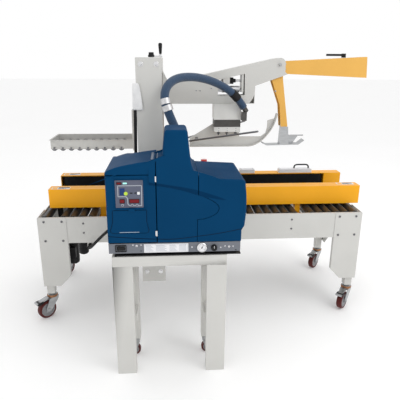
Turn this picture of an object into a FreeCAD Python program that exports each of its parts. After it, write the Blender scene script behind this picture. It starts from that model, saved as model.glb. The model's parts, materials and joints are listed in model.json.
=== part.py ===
"""Hot-melt carton sealer: a side-belt conveyor bed with a height-adjustable flap-folding and
pressing head on two columns, and a hot-melt glue unit on its own stand in front.

Machine axes, in millimetres: X along the conveyor (cartons travel towards -X), Y across it with
the glue unit in front at -Y, Z up from the floor. The machine is drawn about the middle of the
bed, and save() moves every piece so that the origin is the middle of the footprint.
"""
import FreeCAD
import Part
import math
import os

V = FreeCAD.Vector
X_AXIS, Y_AXIS, Z_AXIS = V(1, 0, 0), V(0, 1, 0), V(0, 0, 1)

# ---------------------------------------------------------------- driving dimensions
FOOTPRINT_CENTRE = V(-2.65, -217.5, 0)  # middle of the whole outline, from the middle of the bed

BED_HALF_LENGTH = 860.0
BED_HALF_WIDTH = 300.0
BED_TOP, BED_BOTTOM = 581.0, 440.0
SHEET = 3.0
RAIL_FACE = BED_HALF_WIDTH - SHEET  # outer face of a side rail, behind the leg covers
FLANGE_END = 680.0  # the rails' lower flange stops short of the legs and the belt drives

LEG_WIDTH, LEG_CHAMFER = 147.0, 55.0
LEG_BOTTOM, LEG_CHAMFER_TOP = 192.0, 251.0
POST = 40.0
POST_BOTTOM = 138.0
POST_X, POST_Y = 831.0, 262.0
CASTER_TRAIL = 40.0

ROLLER_PITCH, ROLLER_COUNT = 47.0, 36
ROLLER_RADIUS, ROLLER_AXIS_Z = 20.0, 567.0
DRIVE_X = -775.5  # drive pulley axis, in place of the second roller
GUIDE_X = 540.5  # cross guide rods, in place of a roller at each end
GUIDE_Z, GUIDE_RADIUS = 510.0, 10.0

BELT_X0, BELT_X1 = -820.0, 880.0
BELT_Z0, BELT_Z1 = 598.0, 700.0
BELT_INNER, BELT_OUTER = 112.0, 183.0
BELT_RUN_X1 = 735.0  # idler pulley axis
PULLEY_RADIUS, BELT_THICK = 29.0, 5.0
PULLEY_Y = BELT_INNER + PULLEY_RADIUS
MOTOR_X, MOTOR_RADIUS = -724.0, 31.0
MOTOR_BOTTOM = {"front": 255.0, "rear": 185.0}

COLUMN_X0, COLUMN_X1 = -325.0, -205.0
COLUMN_FRONT, COLUMN_BACK = 370.0, 300.0
COLUMN_Z0, COLUMN_Z1 = 243.0, 1372.0
COLUMN_WALL = 4.0
TOP_BEAM_Z0 = 1302.0
SCREW_X, SCREW_Y, SCREW_RADIUS = -252.0, 335.0, 10.0
RUN = 0.06  # radial clearance of a shaft in its bore

CARRIAGE_Z0, CARRIAGE_Z1 = 1063.0, 1133.0
BEAM_HALF = 36.0
PRESS_BOTTOM = 891.0
KICK_PIVOT = V(427, 0, 1340)

STAND_X, STAND_HALF = -181.0, 241.0
STAND_FRONT, STAND_REAR = -790.0, -625.0
STAND_TOP, STAND_BEAM = 578.0, 45.0
STAND_LEG = 84.0
REAR_LEG_X, REAR_LEG_BOTTOM = 164.0, 95.0

MELTER_X0, MELTER_X1 = -432.0, 116.0
MELTER_FRONT, MELTER_BACK = -790.0, -471.0
PLATE_TOP = 595.0
BASE_TOP = 639.0
DOOR_X = -231.0  # seam between the hinged control door and the rest of the housing
LID_Z = 930.0
HOOD_BACK = -600.0  # the tops of lid and housing fall away behind this line
TOWER_Z0, TOWER_TOP = 992.0, 1106.0
TOWER_BACK = -640.0


# ---------------------------------------------------------------- helpers
def box(x0, x1, y0, y1, z0, z1):
    """A block from its lowest to its highest corner, whichever way each pair is given."""
    x0, x1 = sorted((x0, x1))
    y0, y1 = sorted((y0, y1))
    return Part.makeBox(x1 - x0, y1 - y0, z1 - z0, V(x0, y0, z0))


def rod(radius, start, end):
    return Part.makeCylinder(radius, start.distanceToPoint(end), start, end - start)


def prism(points, along):
    """A flat polygon, given by its corners in space, pushed along a vector."""
    return Part.Face(Part.makePolygon(points + points[:1])).extrude(along)


def slab_xz(outline, y0, y1):
    """An outline of (x, z) corners, filled between two y planes."""
    return prism([V(x, y0, z) for x, z in outline], V(0, y1 - y0, 0))


def slab_yz(outline, x0, x1):
    return prism([V(x0, y, z) for y, z in outline], V(x1 - x0, 0, 0))


def slab_xy(outline, z0, z1):
    return prism([V(x, y, z0) for x, y in outline], V(0, 0, z1 - z0))


def outline_xz(start, *steps):
    """A closed outline in the XZ plane at y 0: a step is a corner (x, z), or (middle, end) of an arc."""
    here, edges = V(start[0], 0, start[1]), []
    for step in (*steps, start):
        if isinstance(step[0], tuple):
            middle, end = (V(x, 0, z) for x, z in step)
            edges.append(Part.Arc(here, middle, end).toShape())
        else:
            end = V(step[0], 0, step[1])
            edges.append(Part.LineSegment(here, end).toShape())
        here = end
    return Part.Face(Part.Wire(edges))


def thick(face, y0, y1):
    """A face at y 0, filled between two y planes."""
    face = face.copy()
    face.translate(V(0, y0, 0))
    return face.extrude(V(0, y1 - y0, 0))


def joined(*shapes):
    """One solid out of touching or overlapping pieces."""
    whole = shapes[0].fuse(list(shapes[1:])).removeSplitter()
    assert len(whole.Solids) == 1, "pieces of one solid don't touch"
    return whole


def mirrored(shape):
    """The same piece on the other side of the machine's middle plane."""
    return shape.mirror(V(0, 0, 0), Y_AXIS)


def save(name, *shapes):
    """Write one sub-part, moved so that the footprint's middle is the origin."""
    solids = [solid for shape in shapes for solid in shape.Solids]
    for solid in solids:
        assert solid.isValid() and solid.Volume > 0, name
    part = Part.makeCompound(solids) if len(solids) > 1 else solids[0]
    part = part.copy()
    part.translate(-FOOTPRINT_CENTRE)
    part.exportStep(f"parts/{name}.step")


# ---------------------------------------------------------------- conveyor bed
def roller_positions():
    """Roller axes along the bed, without those that the drive shafts and guide posts replace."""
    places = [(k - (ROLLER_COUNT - 1) / 2) * ROLLER_PITCH for k in range(ROLLER_COUNT)]
    taken = (DRIVE_X, -GUIDE_X, GUIDE_X)
    return [x for x in places if all(abs(x - t) > 1 for t in taken)]


def bed_frame():
    end = BED_HALF_LENGTH - SHEET
    rail = joined(
        box(-end, end, -RAIL_FACE, -RAIL_FACE + SHEET, BED_BOTTOM, BED_TOP),
        box(-end, end, -RAIL_FACE, -RAIL_FACE + 12, BED_TOP - SHEET, BED_TOP),
        box(-FLANGE_END, FLANGE_END, -RAIL_FACE, -RAIL_FACE + 30, BED_BOTTOM, BED_BOTTOM + SHEET),
    )
    inner = RAIL_FACE - SHEET
    pieces = [rail, mirrored(rail)]
    for side in (-1, 1):
        pieces.append(box(side * (end - SHEET), side * end, -inner + 30, inner - 30, BED_BOTTOM + 4, 575))
    for x in (-600, -265, 250, 640):
        tube = box(x - 20, x + 20, -inner, inner, 446, 486)
        pieces.append(tube.cut(box(x - 17.5, x + 17.5, -inner, inner, 448.5, 483.5)))
    for x in (-GUIDE_X, GUIDE_X):
        pieces.append(rod(GUIDE_RADIUS, V(x, -inner, GUIDE_Z), V(x, inner, GUIDE_Z)))
    exit_at = SIGNAL_ROUTE[0]
    back = V(0, 24, 0)
    gland_plate = box(exit_at.x - 18, exit_at.x + 18, exit_at.y + 8, exit_at.y + 11, exit_at.z - 16, 446)
    pieces.append(joined(gland_plate, rod(11, exit_at, exit_at + back)))
    save("bed_frame", *pieces)


def deck_rollers():
    rollers = []
    for x in roller_positions():
        tube = rod(ROLLER_RADIUS, V(x, -282, ROLLER_AXIS_Z), V(x, 282, ROLLER_AXIS_Z))
        stub = rod(5, V(x, -294, ROLLER_AXIS_Z), V(x, 294, ROLLER_AXIS_Z))
        rollers.append(joined(tube, stub))
    save("deck_rollers", *rollers)


def corners(piece):
    """A piece drawn at the front right corner, repeated at all four."""
    left = piece.mirror(V(0, 0, 0), X_AXIS)
    return [piece, left, mirrored(piece), mirrored(left)]


def legs():
    x1, y0 = BED_HALF_LENGTH, -BED_HALF_WIDTH
    x0, y1 = x1 - LEG_WIDTH, y0 + LEG_WIDTH
    front = slab_xz(
        [(x0, BED_TOP), (x1, BED_TOP), (x1, LEG_BOTTOM), (x0 + LEG_CHAMFER, LEG_BOTTOM), (x0, LEG_CHAMFER_TOP)],
        y0, y0 + SHEET)
    end = slab_yz(
        [(y0, BED_TOP), (y1, BED_TOP), (y1, LEG_CHAMFER_TOP), (y1 - LEG_CHAMFER, LEG_BOTTOM), (y0, LEG_BOTTOM)],
        x1 - SHEET, x1)
    hem = box(x0, x0 + SHEET, y0, y0 + 22, LEG_CHAMFER_TOP, BED_BOTTOM - 1)
    save("leg_covers", *corners(joined(front, end, hem)))

    half = POST / 2
    post = box(POST_X - half, POST_X + half, -POST_Y - half, -POST_Y + half, POST_BOTTOM, BED_BOTTOM + 4)
    post = post.cut(box(POST_X - half + 3, POST_X + half - 3, -POST_Y - half + 3, -POST_Y + half - 3,
                        POST_BOTTOM + 4, BED_BOTTOM + 4))
    save("leg_posts", *corners(post))


def screw_heads():
    """Button-head screws: bed and legs on both sides, and the column bolts."""
    heads = []
    for side in (-1, 1):
        spots = [(s * x, z) for s in (-1, 1) for x in (736, 827) for z in (455, 561)]
        face = side * BED_HALF_WIDTH
        heads += [rod(6, V(x, face, z), V(x, face + side * 4, z)) for x, z in spots]
        rails = [(x, z) for x in (-628, 475) for z in (496, 548)]
        face = side * RAIL_FACE
        heads += [rod(5, V(x, face, z), V(x, face + side * 4, z)) for x, z in rails]
        face = side * COLUMN_FRONT
        bolts = [(x, z) for x in (-301, -230) for z in (299, 1343)]
        heads += [rod(7, V(x, face, z), V(x, face + side * 5, z)) for x, z in bolts]
    save("frame_screws", *heads)


# ---------------------------------------------------------------- side drive belts
def belt_side(name):
    """One side drive: name is front (at -Y) or rear. Each is drawn at the rear and mirrored."""
    place = mirrored if name == "front" else (lambda shape: shape)
    inner, outer, z0, z1 = BELT_INNER, BELT_OUTER, BELT_Z0, BELT_Z1
    block_x0 = BELT_RUN_X1 + PULLEY_RADIUS + BELT_THICK + 6
    housing = joined(
        box(BELT_X0, BELT_X1, inner, outer, z1 - SHEET, z1),
        box(BELT_X0, BELT_X1, outer - SHEET, outer, z0, z1),
        box(BELT_X0, BELT_X1, inner, outer, z0, z0 + SHEET),
        box(BELT_X0, BELT_X0 + SHEET, inner, outer, z0, z1),
        box(block_x0, BELT_X1, inner, outer, z0, z1),
    )
    housing = housing.cut(box(block_x0 + SHEET, BELT_X1 - SHEET, inner + SHEET, outer - SHEET,
                              z0 + SHEET, z1 - SHEET))
    housing = housing.cut(rod(14 + RUN, V(DRIVE_X, PULLEY_Y, z0 - 1), V(DRIVE_X, PULLEY_Y, z0 + SHEET + 1)))
    idler = joined(
        rod(PULLEY_RADIUS, V(BELT_RUN_X1, PULLEY_Y, z0 + 6), V(BELT_RUN_X1, PULLEY_Y, z1 - 6)),
        rod(8, V(BELT_RUN_X1, PULLEY_Y, z0 + SHEET), V(BELT_RUN_X1, PULLEY_Y, z1 - SHEET)),
    )
    backing = box(DRIVE_X + 45, BELT_RUN_X1 - 45, inner + 0.3, inner + 12, z0 + 8, z1 - 8)
    posts = []
    for x in (-GUIDE_X, GUIDE_X):
        post = joined(
            box(x - 25, x + 25, PULLEY_Y - 30, PULLEY_Y + 30, 488, 536),
            box(x - 15, x + 15, PULLEY_Y - 20, PULLEY_Y + 20, 536, z0),
        )
        bore = rod(GUIDE_RADIUS + RUN, V(x, PULLEY_Y - 40, GUIDE_Z), V(x, PULLEY_Y + 40, GUIDE_Z))
        posts.append(post.cut(bore))
    save(f"{name}_belt_housing", place(housing), place(idler), place(backing), *map(place, posts))

    def loop(radius, low, high):
        ends = [rod(radius, V(x, PULLEY_Y, low), V(x, PULLEY_Y, high)) for x in (DRIVE_X, BELT_RUN_X1)]
        return joined(*ends, box(DRIVE_X, BELT_RUN_X1, PULLEY_Y - radius, PULLEY_Y + radius, low, high))

    belt = loop(PULLEY_RADIUS + BELT_THICK, z0 + 6, z1 - 6).cut(loop(PULLEY_RADIUS + 0.3, z0, z1))
    save(f"{name}_drive_belt", place(belt))

    pulley = joined(
        rod(PULLEY_RADIUS, V(DRIVE_X, PULLEY_Y, z0 + 6), V(DRIVE_X, PULLEY_Y, z1 - 6)),
        rod(9, V(DRIVE_X, PULLEY_Y, 440), V(DRIVE_X, PULLEY_Y, z1 - 6)),
    )
    save(f"{name}_drive_pulley", place(pulley))

    gearbox = box(MOTOR_X + 29, DRIVE_X - 17, PULLEY_Y - 38, PULLEY_Y + 38, 400, 468)
    hanger = rod(14, V(DRIVE_X, PULLEY_Y, 468), V(DRIVE_X, PULLEY_Y, z0 + SHEET))
    bottom = MOTOR_BOTTOM[name]
    motor = rod(MOTOR_RADIUS, V(MOTOR_X, PULLEY_Y, bottom), V(MOTOR_X, PULLEY_Y, 400))
    motor = motor.makeFillet(MOTOR_RADIUS / 2, [e for e in motor.Edges if max(v.Z for v in e.Vertexes) < 390])
    terminal_box = box(MOTOR_X - 22, MOTOR_X + 22, PULLEY_Y + MOTOR_RADIUS - 6, PULLEY_Y + MOTOR_RADIUS + 18,
                       bottom + 50, bottom + 110)
    gearmotor = joined(gearbox, hanger, motor, terminal_box)
    gearmotor = gearmotor.cut(rod(9 + RUN, V(DRIVE_X, PULLEY_Y, 439.5), V(DRIVE_X, PULLEY_Y, 700)))
    save(f"{name}_gearmotor", place(gearmotor))


# ---------------------------------------------------------------- columns and lifting screws
def columns():
    x0, x1, front, back = COLUMN_X0, COLUMN_X1, -COLUMN_FRONT, -COLUMN_BACK
    wall = COLUMN_WALL
    channel = box(x0, x1, front, back, COLUMN_Z0, COLUMN_Z1)
    channel = channel.cut(box(x0 + wall, x1 - wall, front + wall, back, COLUMN_Z0 + wall, COLUMN_Z1 - wall))
    adapter = box(x0, x1, back, -RAIL_FACE, BED_BOTTOM, BED_TOP)
    column = joined(channel, adapter)
    column = column.cut(rod(SCREW_RADIUS + RUN, V(SCREW_X, -SCREW_Y, COLUMN_Z1 - 10), V(SCREW_X, -SCREW_Y, 1400)))
    column = column.cut(rod(SCREW_RADIUS + RUN, V(SCREW_X, -SCREW_Y, COLUMN_Z0 - 1), V(SCREW_X, -SCREW_Y, 260)))
    save("lift_columns", column, mirrored(column))

    beam = box(x0, x1, back, -back, TOP_BEAM_Z0, COLUMN_Z1)
    beam = beam.cut(box(x0 + 3, x1 - 3, back, -back, TOP_BEAM_Z0, COLUMN_Z1 - 3))
    radius, chain_z = 34.0, 1350.0

    def chain_loop(r, low, high):
        ends = [rod(r, V(SCREW_X, s * SCREW_Y, low), V(SCREW_X, s * SCREW_Y, high)) for s in (-1, 1)]
        return joined(*ends, box(SCREW_X - r, SCREW_X + r, -SCREW_Y, SCREW_Y, low, high))

    links = chain_loop(radius + 6.5, chain_z - 3, chain_z + 3)
    links = links.cut(chain_loop(radius + 0.3, chain_z - 5, chain_z + 5))
    links = links.common(box(x0 + wall, x1 - wall, front + wall, -front - wall, TOP_BEAM_Z0, COLUMN_Z1))
    save("top_cross_beam", beam, links)

    for name, side, top in (("front", -1, 1395.0), ("rear", 1, COLUMN_Z1)):
        y = side * SCREW_Y
        screw = joined(
            rod(SCREW_RADIUS, V(SCREW_X, y, COLUMN_Z0 + 0.5), V(SCREW_X, y, top)),
            rod(25, V(SCREW_X, y, chain_z - 3), V(SCREW_X, y, chain_z + 3)),
            rod(16, V(SCREW_X, y, COLUMN_Z0 + wall + 1), V(SCREW_X, y, COLUMN_Z0 + wall + 13)),
        )
        save(f"lift_screw_{name}", screw)


CRANK_REACH = V(41, 88, 0)  # from the front screw to the grip


def crank_handle():
    hub = V(SCREW_X, -SCREW_Y, COLUMN_Z1 + 1)
    grip = hub + CRANK_REACH
    across = V(-CRANK_REACH.y, CRANK_REACH.x, 0).normalize() * 9
    corners_ = [hub - across, grip - across, grip + across, hub + across]
    arm = prism([p + V(0, 0, 7) for p in corners_], V(0, 0, 6))
    handle = joined(
        arm,
        rod(15, hub, hub + V(0, 0, 14)),
        rod(12, hub, hub + V(0, 0, 22)),
        rod(9, grip + V(0, 0, 7), grip + V(0, 0, 13)),
        rod(4, grip, grip + V(0, 0, 66)),
        rod(9.5, grip + V(0, 0, 15), grip + V(0, 0, 66)),
    )
    handle = handle.cut(rod(SCREW_RADIUS, hub - V(0, 0, 1), hub + V(0, 0, 22)))
    save("crank_handle", handle)


# ---------------------------------------------------------------- pressing head
TRAY_X0, TRAY_X1, TRAY_HALF = -806.0, -371.0, 100.0


def head_carriage():
    """Cross tube, the two nut blocks that ride in the columns, and the hanger of the press tray."""
    z0, z1 = CARRIAGE_Z0, CARRIAGE_Z1
    tube = box(-310, -220, -304, 304, z0, z1).cut(box(-306, -224, -304, 304, z0 + 4, z1 - 4))
    pieces = []
    for side in (-1, 1):
        block = box(-318, -212, side * 304, side * 362, z0 - 10, z1 + 10)
        axis = V(SCREW_X, side * SCREW_Y, 0)
        pieces.append(block.cut(rod(SCREW_RADIUS + RUN, axis + V(0, 0, z0 - 20), axis + V(0, 0, z1 + 20))))
    plate = box(TRAY_X1, TRAY_X1 + 8, -TRAY_HALF, TRAY_HALF, PRESS_BOTTOM, 1107)
    arm = box(TRAY_X1 + 8, -310, -60, 60, 1068, 1100)
    save("head_carriage", tube, *pieces, joined(plate, arm))


STAR_AXIS_Z = 1254.0
BEAM_LEFT, BEAM_STEP, BEAM_NOSE = -318.0, 296.0, 457.0
BEAM_SLOPE = 0.222  # rise of the sloping top edge per unit of length
HEEL_X, HEEL_Z = -203.0, 1170.0  # left of this the beam is low, so that it rises under the top beam


def beam_top(x):
    return 1306 + BEAM_SLOPE * (x - 106)


def beam_side(inset, nose):
    """Outline of the beam: the bottom steps up to the nose, and the top edge slopes up to it."""
    left, step, right = BEAM_LEFT + inset, BEAM_STEP - inset, BEAM_NOSE - inset
    return outline_xz(
        (left, CARRIAGE_Z1 + inset), (step, CARRIAGE_Z1 + inset), (step, 1228 + inset), nose, (right, 1302),
        (right, 1346), ((right - 8, 1365), (right - 29, 1374 - inset)), (396, beam_top(396) - inset),
        (HEEL_X + inset, beam_top(HEEL_X) - inset), (HEEL_X + inset, HEEL_Z - inset), (left, HEEL_Z - inset))


def main_beam():
    half, wall = BEAM_HALF, 3
    beam = thick(beam_side(0, (470, 1289)), -half, half)
    beam = beam.cut(thick(beam_side(wall, (458, 1290)), -half + wall, half - wall))
    top_left, top_right = (98, beam_top(98) - 44), (237, beam_top(237) - 44)
    window = outline_xz((92, 1177), (240, 1180), top_right, top_left)
    beam = beam.cut(thick(window, -half - 1, half + 1))
    mouth = outline_xz((372, 1200), (520, 1200), (520, 1297), (450, 1297), (372, 1270))
    nose = outline_xz((440, 1290), (480, 1290), (480, 1358.5), (440, 1358.5))
    for opening in (mouth, nose):
        beam = beam.cut(thick(opening, -half + wall, half - wall))
    corner = outline_xz((297, 1132), (297, 1207), ((286, 1164), (262, 1132)))
    beam = beam.cut(thick(corner, -half - 1, -half + wall))
    pin_reach = V(0, half + 5, 0)
    beam = beam.cut(rod(8, KICK_PIVOT - pin_reach, KICK_PIVOT + pin_reach))
    pin = rod(8, KICK_PIVOT - pin_reach, KICK_PIVOT + pin_reach)
    inner = half - wall
    bore = rod(6 + RUN, V(100, 0, STAR_AXIS_Z), V(250, 0, STAR_AXIS_Z))
    nut_block = box(121, 157, -inner, inner, 1236, 1276).cut(bore)
    bearing_plate = box(222, 232, -inner, inner, 1194, 1292).cut(bore)
    gusset_foot = [(x, beam_top(x)) for x in (HEEL_X, HEEL_X + 30)]
    gusset = thick(outline_xz(*gusset_foot, (HEEL_X, 1304)), -3, 3)
    save("main_beam", beam, pin, nut_block, bearing_plate, gusset)


def infeed_cover():
    outer = [(446, 1357), (906, 1382), (914, 1272), (446, 1292)]
    inner = [(440, 1355), (904, 1380), (912, 1260), (440, 1280)]
    cover = slab_xz(outer, -32.8, 32.8).cut(slab_xz(inner, -30.8, 30.8))
    save("infeed_cover", cover)


RATCHET = V(785, 0, 1376.5)


def ratchet_handle():
    hub = joined(
        rod(12, RATCHET + V(0, 0, 0.8), RATCHET + V(0, 0, 22)),
        slab_xy([(RATCHET.x - 96, -7), (RATCHET.x - 8, -9), (RATCHET.x - 8, 9), (RATCHET.x - 96, 7)],
                RATCHET.z + 9, RATCHET.z + 20),
    )
    save("ratchet_handle", hub)


def kick_cylinder():
    """Air cylinder inside the beam that swings the rear-flap folder, held by a cross plate."""
    z = 1209
    barrel = rod(18, V(118, 0, z), V(214, 0, z))
    piston_rod = rod(5, V(214, 0, z), V(220, 0, z))
    clevis = box(100, 119, -12, 12, z - 15, z + 15)
    cross_plate = box(84, 90, -33, 33, z - 23, z + 23)
    save("kick_cylinder", joined(barrel, piston_rod, clevis, cross_plate, rod(9, V(88, 0, z), V(102, 0, z))))


def star_knob():
    knob = rod(19, V(158, 0, STAR_AXIS_Z), V(180, 0, STAR_AXIS_Z))
    neck = rod(10, V(180, 0, STAR_AXIS_Z), V(192, 0, STAR_AXIS_Z))
    shaft = rod(6, V(110, 0, STAR_AXIS_Z), V(238, 0, STAR_AXIS_Z))
    save("star_knob", joined(knob, neck, shaft))


def gun_parts():
    """Cover of the glue heads under the beam, and the heads themselves with their nozzles."""
    x0, x1, half = 72.0, 222.0, 50.0
    cover = box(x0, x1, -half, half, 1048, CARRIAGE_Z1)
    cover = cover.cut(box(x0 + 2, x1 - 2, -half + 2, half - 2, 1046, CARRIAGE_Z1 - 2))
    slot = box(x0 - 1, x1 + 1, -5, 5, 970, 1022)
    clamp = box(x0 + 2.4, x1 - 2.4, -half + 2.4, half - 2.4, 980, 1008)
    save("gun_housing", cover, *clamp.cut(slot).Solids)
    block = box(x0 + 2.4, x1 - 2.4, -half + 2.4, half - 2.4, 1008, 1052)
    end, onward = HOSE_ROUTE[-1], (HOSE_ROUTE[-1] - HOSE_ROUTE[-2]).normalize()
    inlet = rod(14, end + onward * 0.4, end + onward * 30)
    body = joined(box(x1 + 0.4, x1 + 26, -82, -48, 1046, 1092), inlet)
    spots = [(x, y) for x in (100, 147, 195) for y in (-30, 30)]
    nozzles = [joined(rod(7, V(x, y, 970), V(x, y, 980)), rod(3, V(x, y, 962), V(x, y, 970))) for x, y in spots]
    save("glue_guns", block.cut(slot), body, *nozzles)


SKI_BEND = [(258, 893), (309, 901), (350, 926), (389, 969), (414, 1010), (428, 1050), (435, 1076)]


def parallel(points, distance):
    """The same line of points moved to its left by a distance."""
    moved = []
    for k, (x, z) in enumerate(points):
        (xa, za), (xb, zb) = points[max(k - 1, 0)], points[min(k + 1, len(points) - 1)]
        span = math.hypot(xb - xa, zb - za)
        moved.append((x - distance * (zb - za) / span, z + distance * (xb - xa) / span))
    return moved


def curve(points, y=0.0):
    smooth = Part.BSplineCurve()
    smooth.interpolate([V(x, y, z) for x, z in points])
    return smooth.toShape()


def chain(*parts):
    """A closed face in the XZ plane out of smooth curves and the straight lines between them."""
    edges, here = [], None
    for edge in parts:
        first, last = edge.valueAt(edge.FirstParameter), edge.valueAt(edge.LastParameter)
        if here is not None:
            edges.append(Part.LineSegment(here, first).toShape())
        edges.append(edge)
        here = last
    edges.append(Part.LineSegment(here, parts[0].valueAt(parts[0].FirstParameter)).toShape())
    return Part.Face(Part.Wire(edges))


def plow_ski():
    """Fixed folding ski that lays the front flap back, on an upright web under the glue heads."""
    exit_x = -60.0
    lower, upper, middle = SKI_BEND, parallel(SKI_BEND, 4), parallel(SKI_BEND, 2)[:-1]
    bend = thick(chain(curve(lower), curve(upper[::-1])), -22, 22)
    flat = box(exit_x, lower[0][0], -22, 22, lower[0][1], upper[0][1])
    inner = [(380, 1038), (380, 1004), (373, 968), (346, 948), (222, 948), (222, 1022), (74, 1022),
             (exit_x, 941), (exit_x, middle[0][1])]
    edges = [curve(middle)]
    here = V(middle[-1][0], 0, middle[-1][1])
    for x, z in (*inner, middle[0]):
        edges.append(Part.LineSegment(here, V(x, 0, z)).toShape())
        here = V(x, 0, z)
    web = thick(Part.Face(Part.Wire(edges)), -3, 3)
    save("plow_ski", joined(flat, bend, web))


def fold_rods():
    """Two rods that lay the side flaps down: wide and high at the infeed, close and low at the exit."""
    pieces = []
    for side in (-1, 1):
        low, high = V(-62, side * 58, 934), V(286, side * 205, 1007)
        bar = joined(rod(5, low, high), Part.makeSphere(5, high), Part.makeSphere(5, low))
        mid = low + (high - low) * 0.12
        stay = box(mid.x - 6, mid.x + 6, side * 3, mid.y, mid.z - 3, mid.z + 3)
        pieces.append(joined(bar, stay))
    save("fold_rods", *pieces)


def press_tray():
    z0, z1, wall = 901.0, 951.0, 2.0
    x0, x1, half = TRAY_X0, TRAY_X1, TRAY_HALF
    tray = box(x0, x1, -half, half, z0, z1).cut(box(x0 + wall, x1 - wall, -half + wall, half - wall, z0, z1))
    rim = box(x0 - 7, x1, -half - 5, half + 5, z1 - 2, z1)
    rim = rim.cut(box(x0 + wall, x1 - wall, -half + wall, half - wall, z1 - 3, z1))
    tray = joined(tray, rim)
    xs = [x0 + 18 + 44.4 * k for k in range(9)]
    for x in xs:
        tray = tray.cut(rod(5 + RUN, V(x, -half - 1, 907), V(x, half + 1, 907)))
    save("press_tray", tray)
    rollers = []
    for x in xs:
        drum = rod(16, V(x, -half + 4, 907), V(x, half - 4, 907))
        axle = rod(5, V(x, -half - 5, 907), V(x, half + 5, 907))
        rollers.append(joined(drum, axle))
    save("press_rollers", *rollers)


# ---------------------------------------------------------------- rear-flap folder
ARM_OUTER = [(402, 1348), (448, 1348), (449, 1267), (491, 1005.3), (451, 1005.3), (438, 1126), (388, 1258),
             (391, 1320)]
ARM_CAVITY = [(380, 1346), (446, 1346), (447, 1267), (489, 1005), (440, 1000), (426, 1126), (374, 1259),
              (370, 1320)]


def kicker():
    arm = slab_xz(ARM_OUTER, -26, 26).cut(slab_xz(ARM_CAVITY, -24, 24))
    bush = rod(14, KICK_PIVOT - V(0, 26, 0), KICK_PIVOT + V(0, 26, 0))
    arm = joined(arm, bush).cut(rod(8 + RUN, KICK_PIVOT - V(0, 30, 0), KICK_PIVOT + V(0, 30, 0)))
    save("kicker_arm", arm)

    shank = slab_xz([(455, 1060), (478, 1060), (496, 1003), (503, 910), (452, 910), (457, 1003)], -23.5, 23.5)
    shank = shank.common(slab_xz([(440, 905), (510, 905), (510, 1003), (484, 1003), (477, 1062), (440, 1062)],
                                 -30, 30))
    shoe = slab_xz([(356, 915), (352, 911), (377, 899), (561, 902), (594, 926), (590, 931), (560, 908), (378, 905)],
                   -25, 25)
    sole = box(452, 503, -23.5, 23.5, 901, 912)
    gusset = slab_xz([(502, 905), (530, 905), (560, 950), (500, 958)], -2, 2)
    finger = rod(4, V(505, 0, 953), V(592, 0, 953))
    save("kicker_foot", joined(shank, sole, shoe, gusset, finger))


# ---------------------------------------------------------------- casters
def caster(name, place_at, angle):
    """A braked swivel caster that trails towards -X before it is turned by angle degrees."""
    trail, radius, axle_z = CASTER_TRAIL, 50.0, 50.0
    top = POST_BOTTOM
    head = joined(
        rod(26, V(0, 0, 112), V(0, 0, top - 8)),
        rod(12, V(0, 0, top - 8), V(0, 0, top)),
    )
    ear = [(-14, 116), (26, 122), (20, 100), (-trail + 12, 40), (-trail - 12, 40), (-trail - 14, 60), (-30, 112)]
    fork = joined(
        head,
        slab_xz(ear, -23, -20),
        slab_xz(ear, 20, 23),
        box(-22, 22, -23, 23, 108, 114),
        rod(5, V(-trail, -26, axle_z), V(-trail, 26, axle_z)),
    )
    pedal = joined(
        slab_xz([(-28, 112), (-30, 120), (-92, 106), (-92, 98)], -14, 14),
        rod(7, V(-94, -17, 101), V(-94, 17, 101)),
        box(-36, -20, -14, 14, 108, 118),
    )
    fork = joined(fork, pedal)
    wheel = joined(
        rod(radius, V(-trail, -15, axle_z), V(-trail, 15, axle_z)),
        rod(12, V(-trail, -19.5, axle_z), V(-trail, 19.5, axle_z)),
    ).cut(rod(5 + RUN, V(-trail, -30, axle_z), V(-trail, 30, axle_z)))
    for node, shape in ((f"{name}_fork", fork), (f"{name}_wheel", wheel)):
        shape.rotate(V(0, 0, 0), Z_AXIS, angle)
        shape.translate(place_at)
        save(node, shape)


def stand_caster(name, place_at, angle):
    trail, radius = 12.0, 30.0
    ear = [(-12, 88), (14, 88), (14, 74), (-trail + 8, 24), (-trail - 8, 24), (-20, 74)]
    fork = joined(
        rod(16, V(0, 0, 78), V(0, 0, 90)),
        rod(6, V(0, 0, 90), V(0, 0, REAR_LEG_BOTTOM)),
        box(-18, 14, -15, 15, 76, 80),
        slab_xz(ear, -15, -13),
        slab_xz(ear, 13, 15),
        rod(4, V(-trail, -17, radius), V(-trail, 17, radius)),
    )
    wheel = rod(radius, V(-trail, -10, radius), V(-trail, 10, radius))
    wheel = joined(wheel, rod(8, V(-trail, -12.5, radius), V(-trail, 12.5, radius)))
    wheel = wheel.cut(rod(4 + RUN, V(-trail, -20, radius), V(-trail, 20, radius)))
    for node, shape in ((f"{name}_fork", fork), (f"{name}_wheel", wheel)):
        shape.rotate(V(0, 0, 0), Z_AXIS, angle)
        shape.translate(place_at)
        save(node, shape)


# ---------------------------------------------------------------- glue unit and its stand
def stand():
    x0, x1 = STAND_X - STAND_HALF, STAND_X + STAND_HALF
    z0 = STAND_TOP - STAND_BEAM
    top = box(x0, x1, STAND_FRONT, STAND_REAR, z0, STAND_TOP)
    top = top.cut(box(x0 + 40, x1 - 40, STAND_FRONT + 40, STAND_REAR - 40, z0, STAND_TOP))
    pieces = [top]
    for side in (-1, 1):
        outer, inner = STAND_X + side * STAND_HALF, STAND_X + side * (STAND_HALF - STAND_LEG)
        pieces.append(box(outer, inner, STAND_FRONT, STAND_FRONT + 40, 0, z0))
        x = STAND_X + side * REAR_LEG_X
        pieces.append(box(x - 20, x + 20, STAND_REAR - 40, STAND_REAR, REAR_LEG_BOTTOM, z0))
        pieces.append(box(x - 15, x + 15, STAND_FRONT + 40, STAND_REAR - 40, 250, 280))
    save("stand_frame", *pieces)


DOOR_HINGE = V(DOOR_X - 1.5, MELTER_FRONT - 6.5, 0)
LID_HINGE = V(-331, MELTER_BACK + 2.5, LID_Z + 4)


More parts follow.
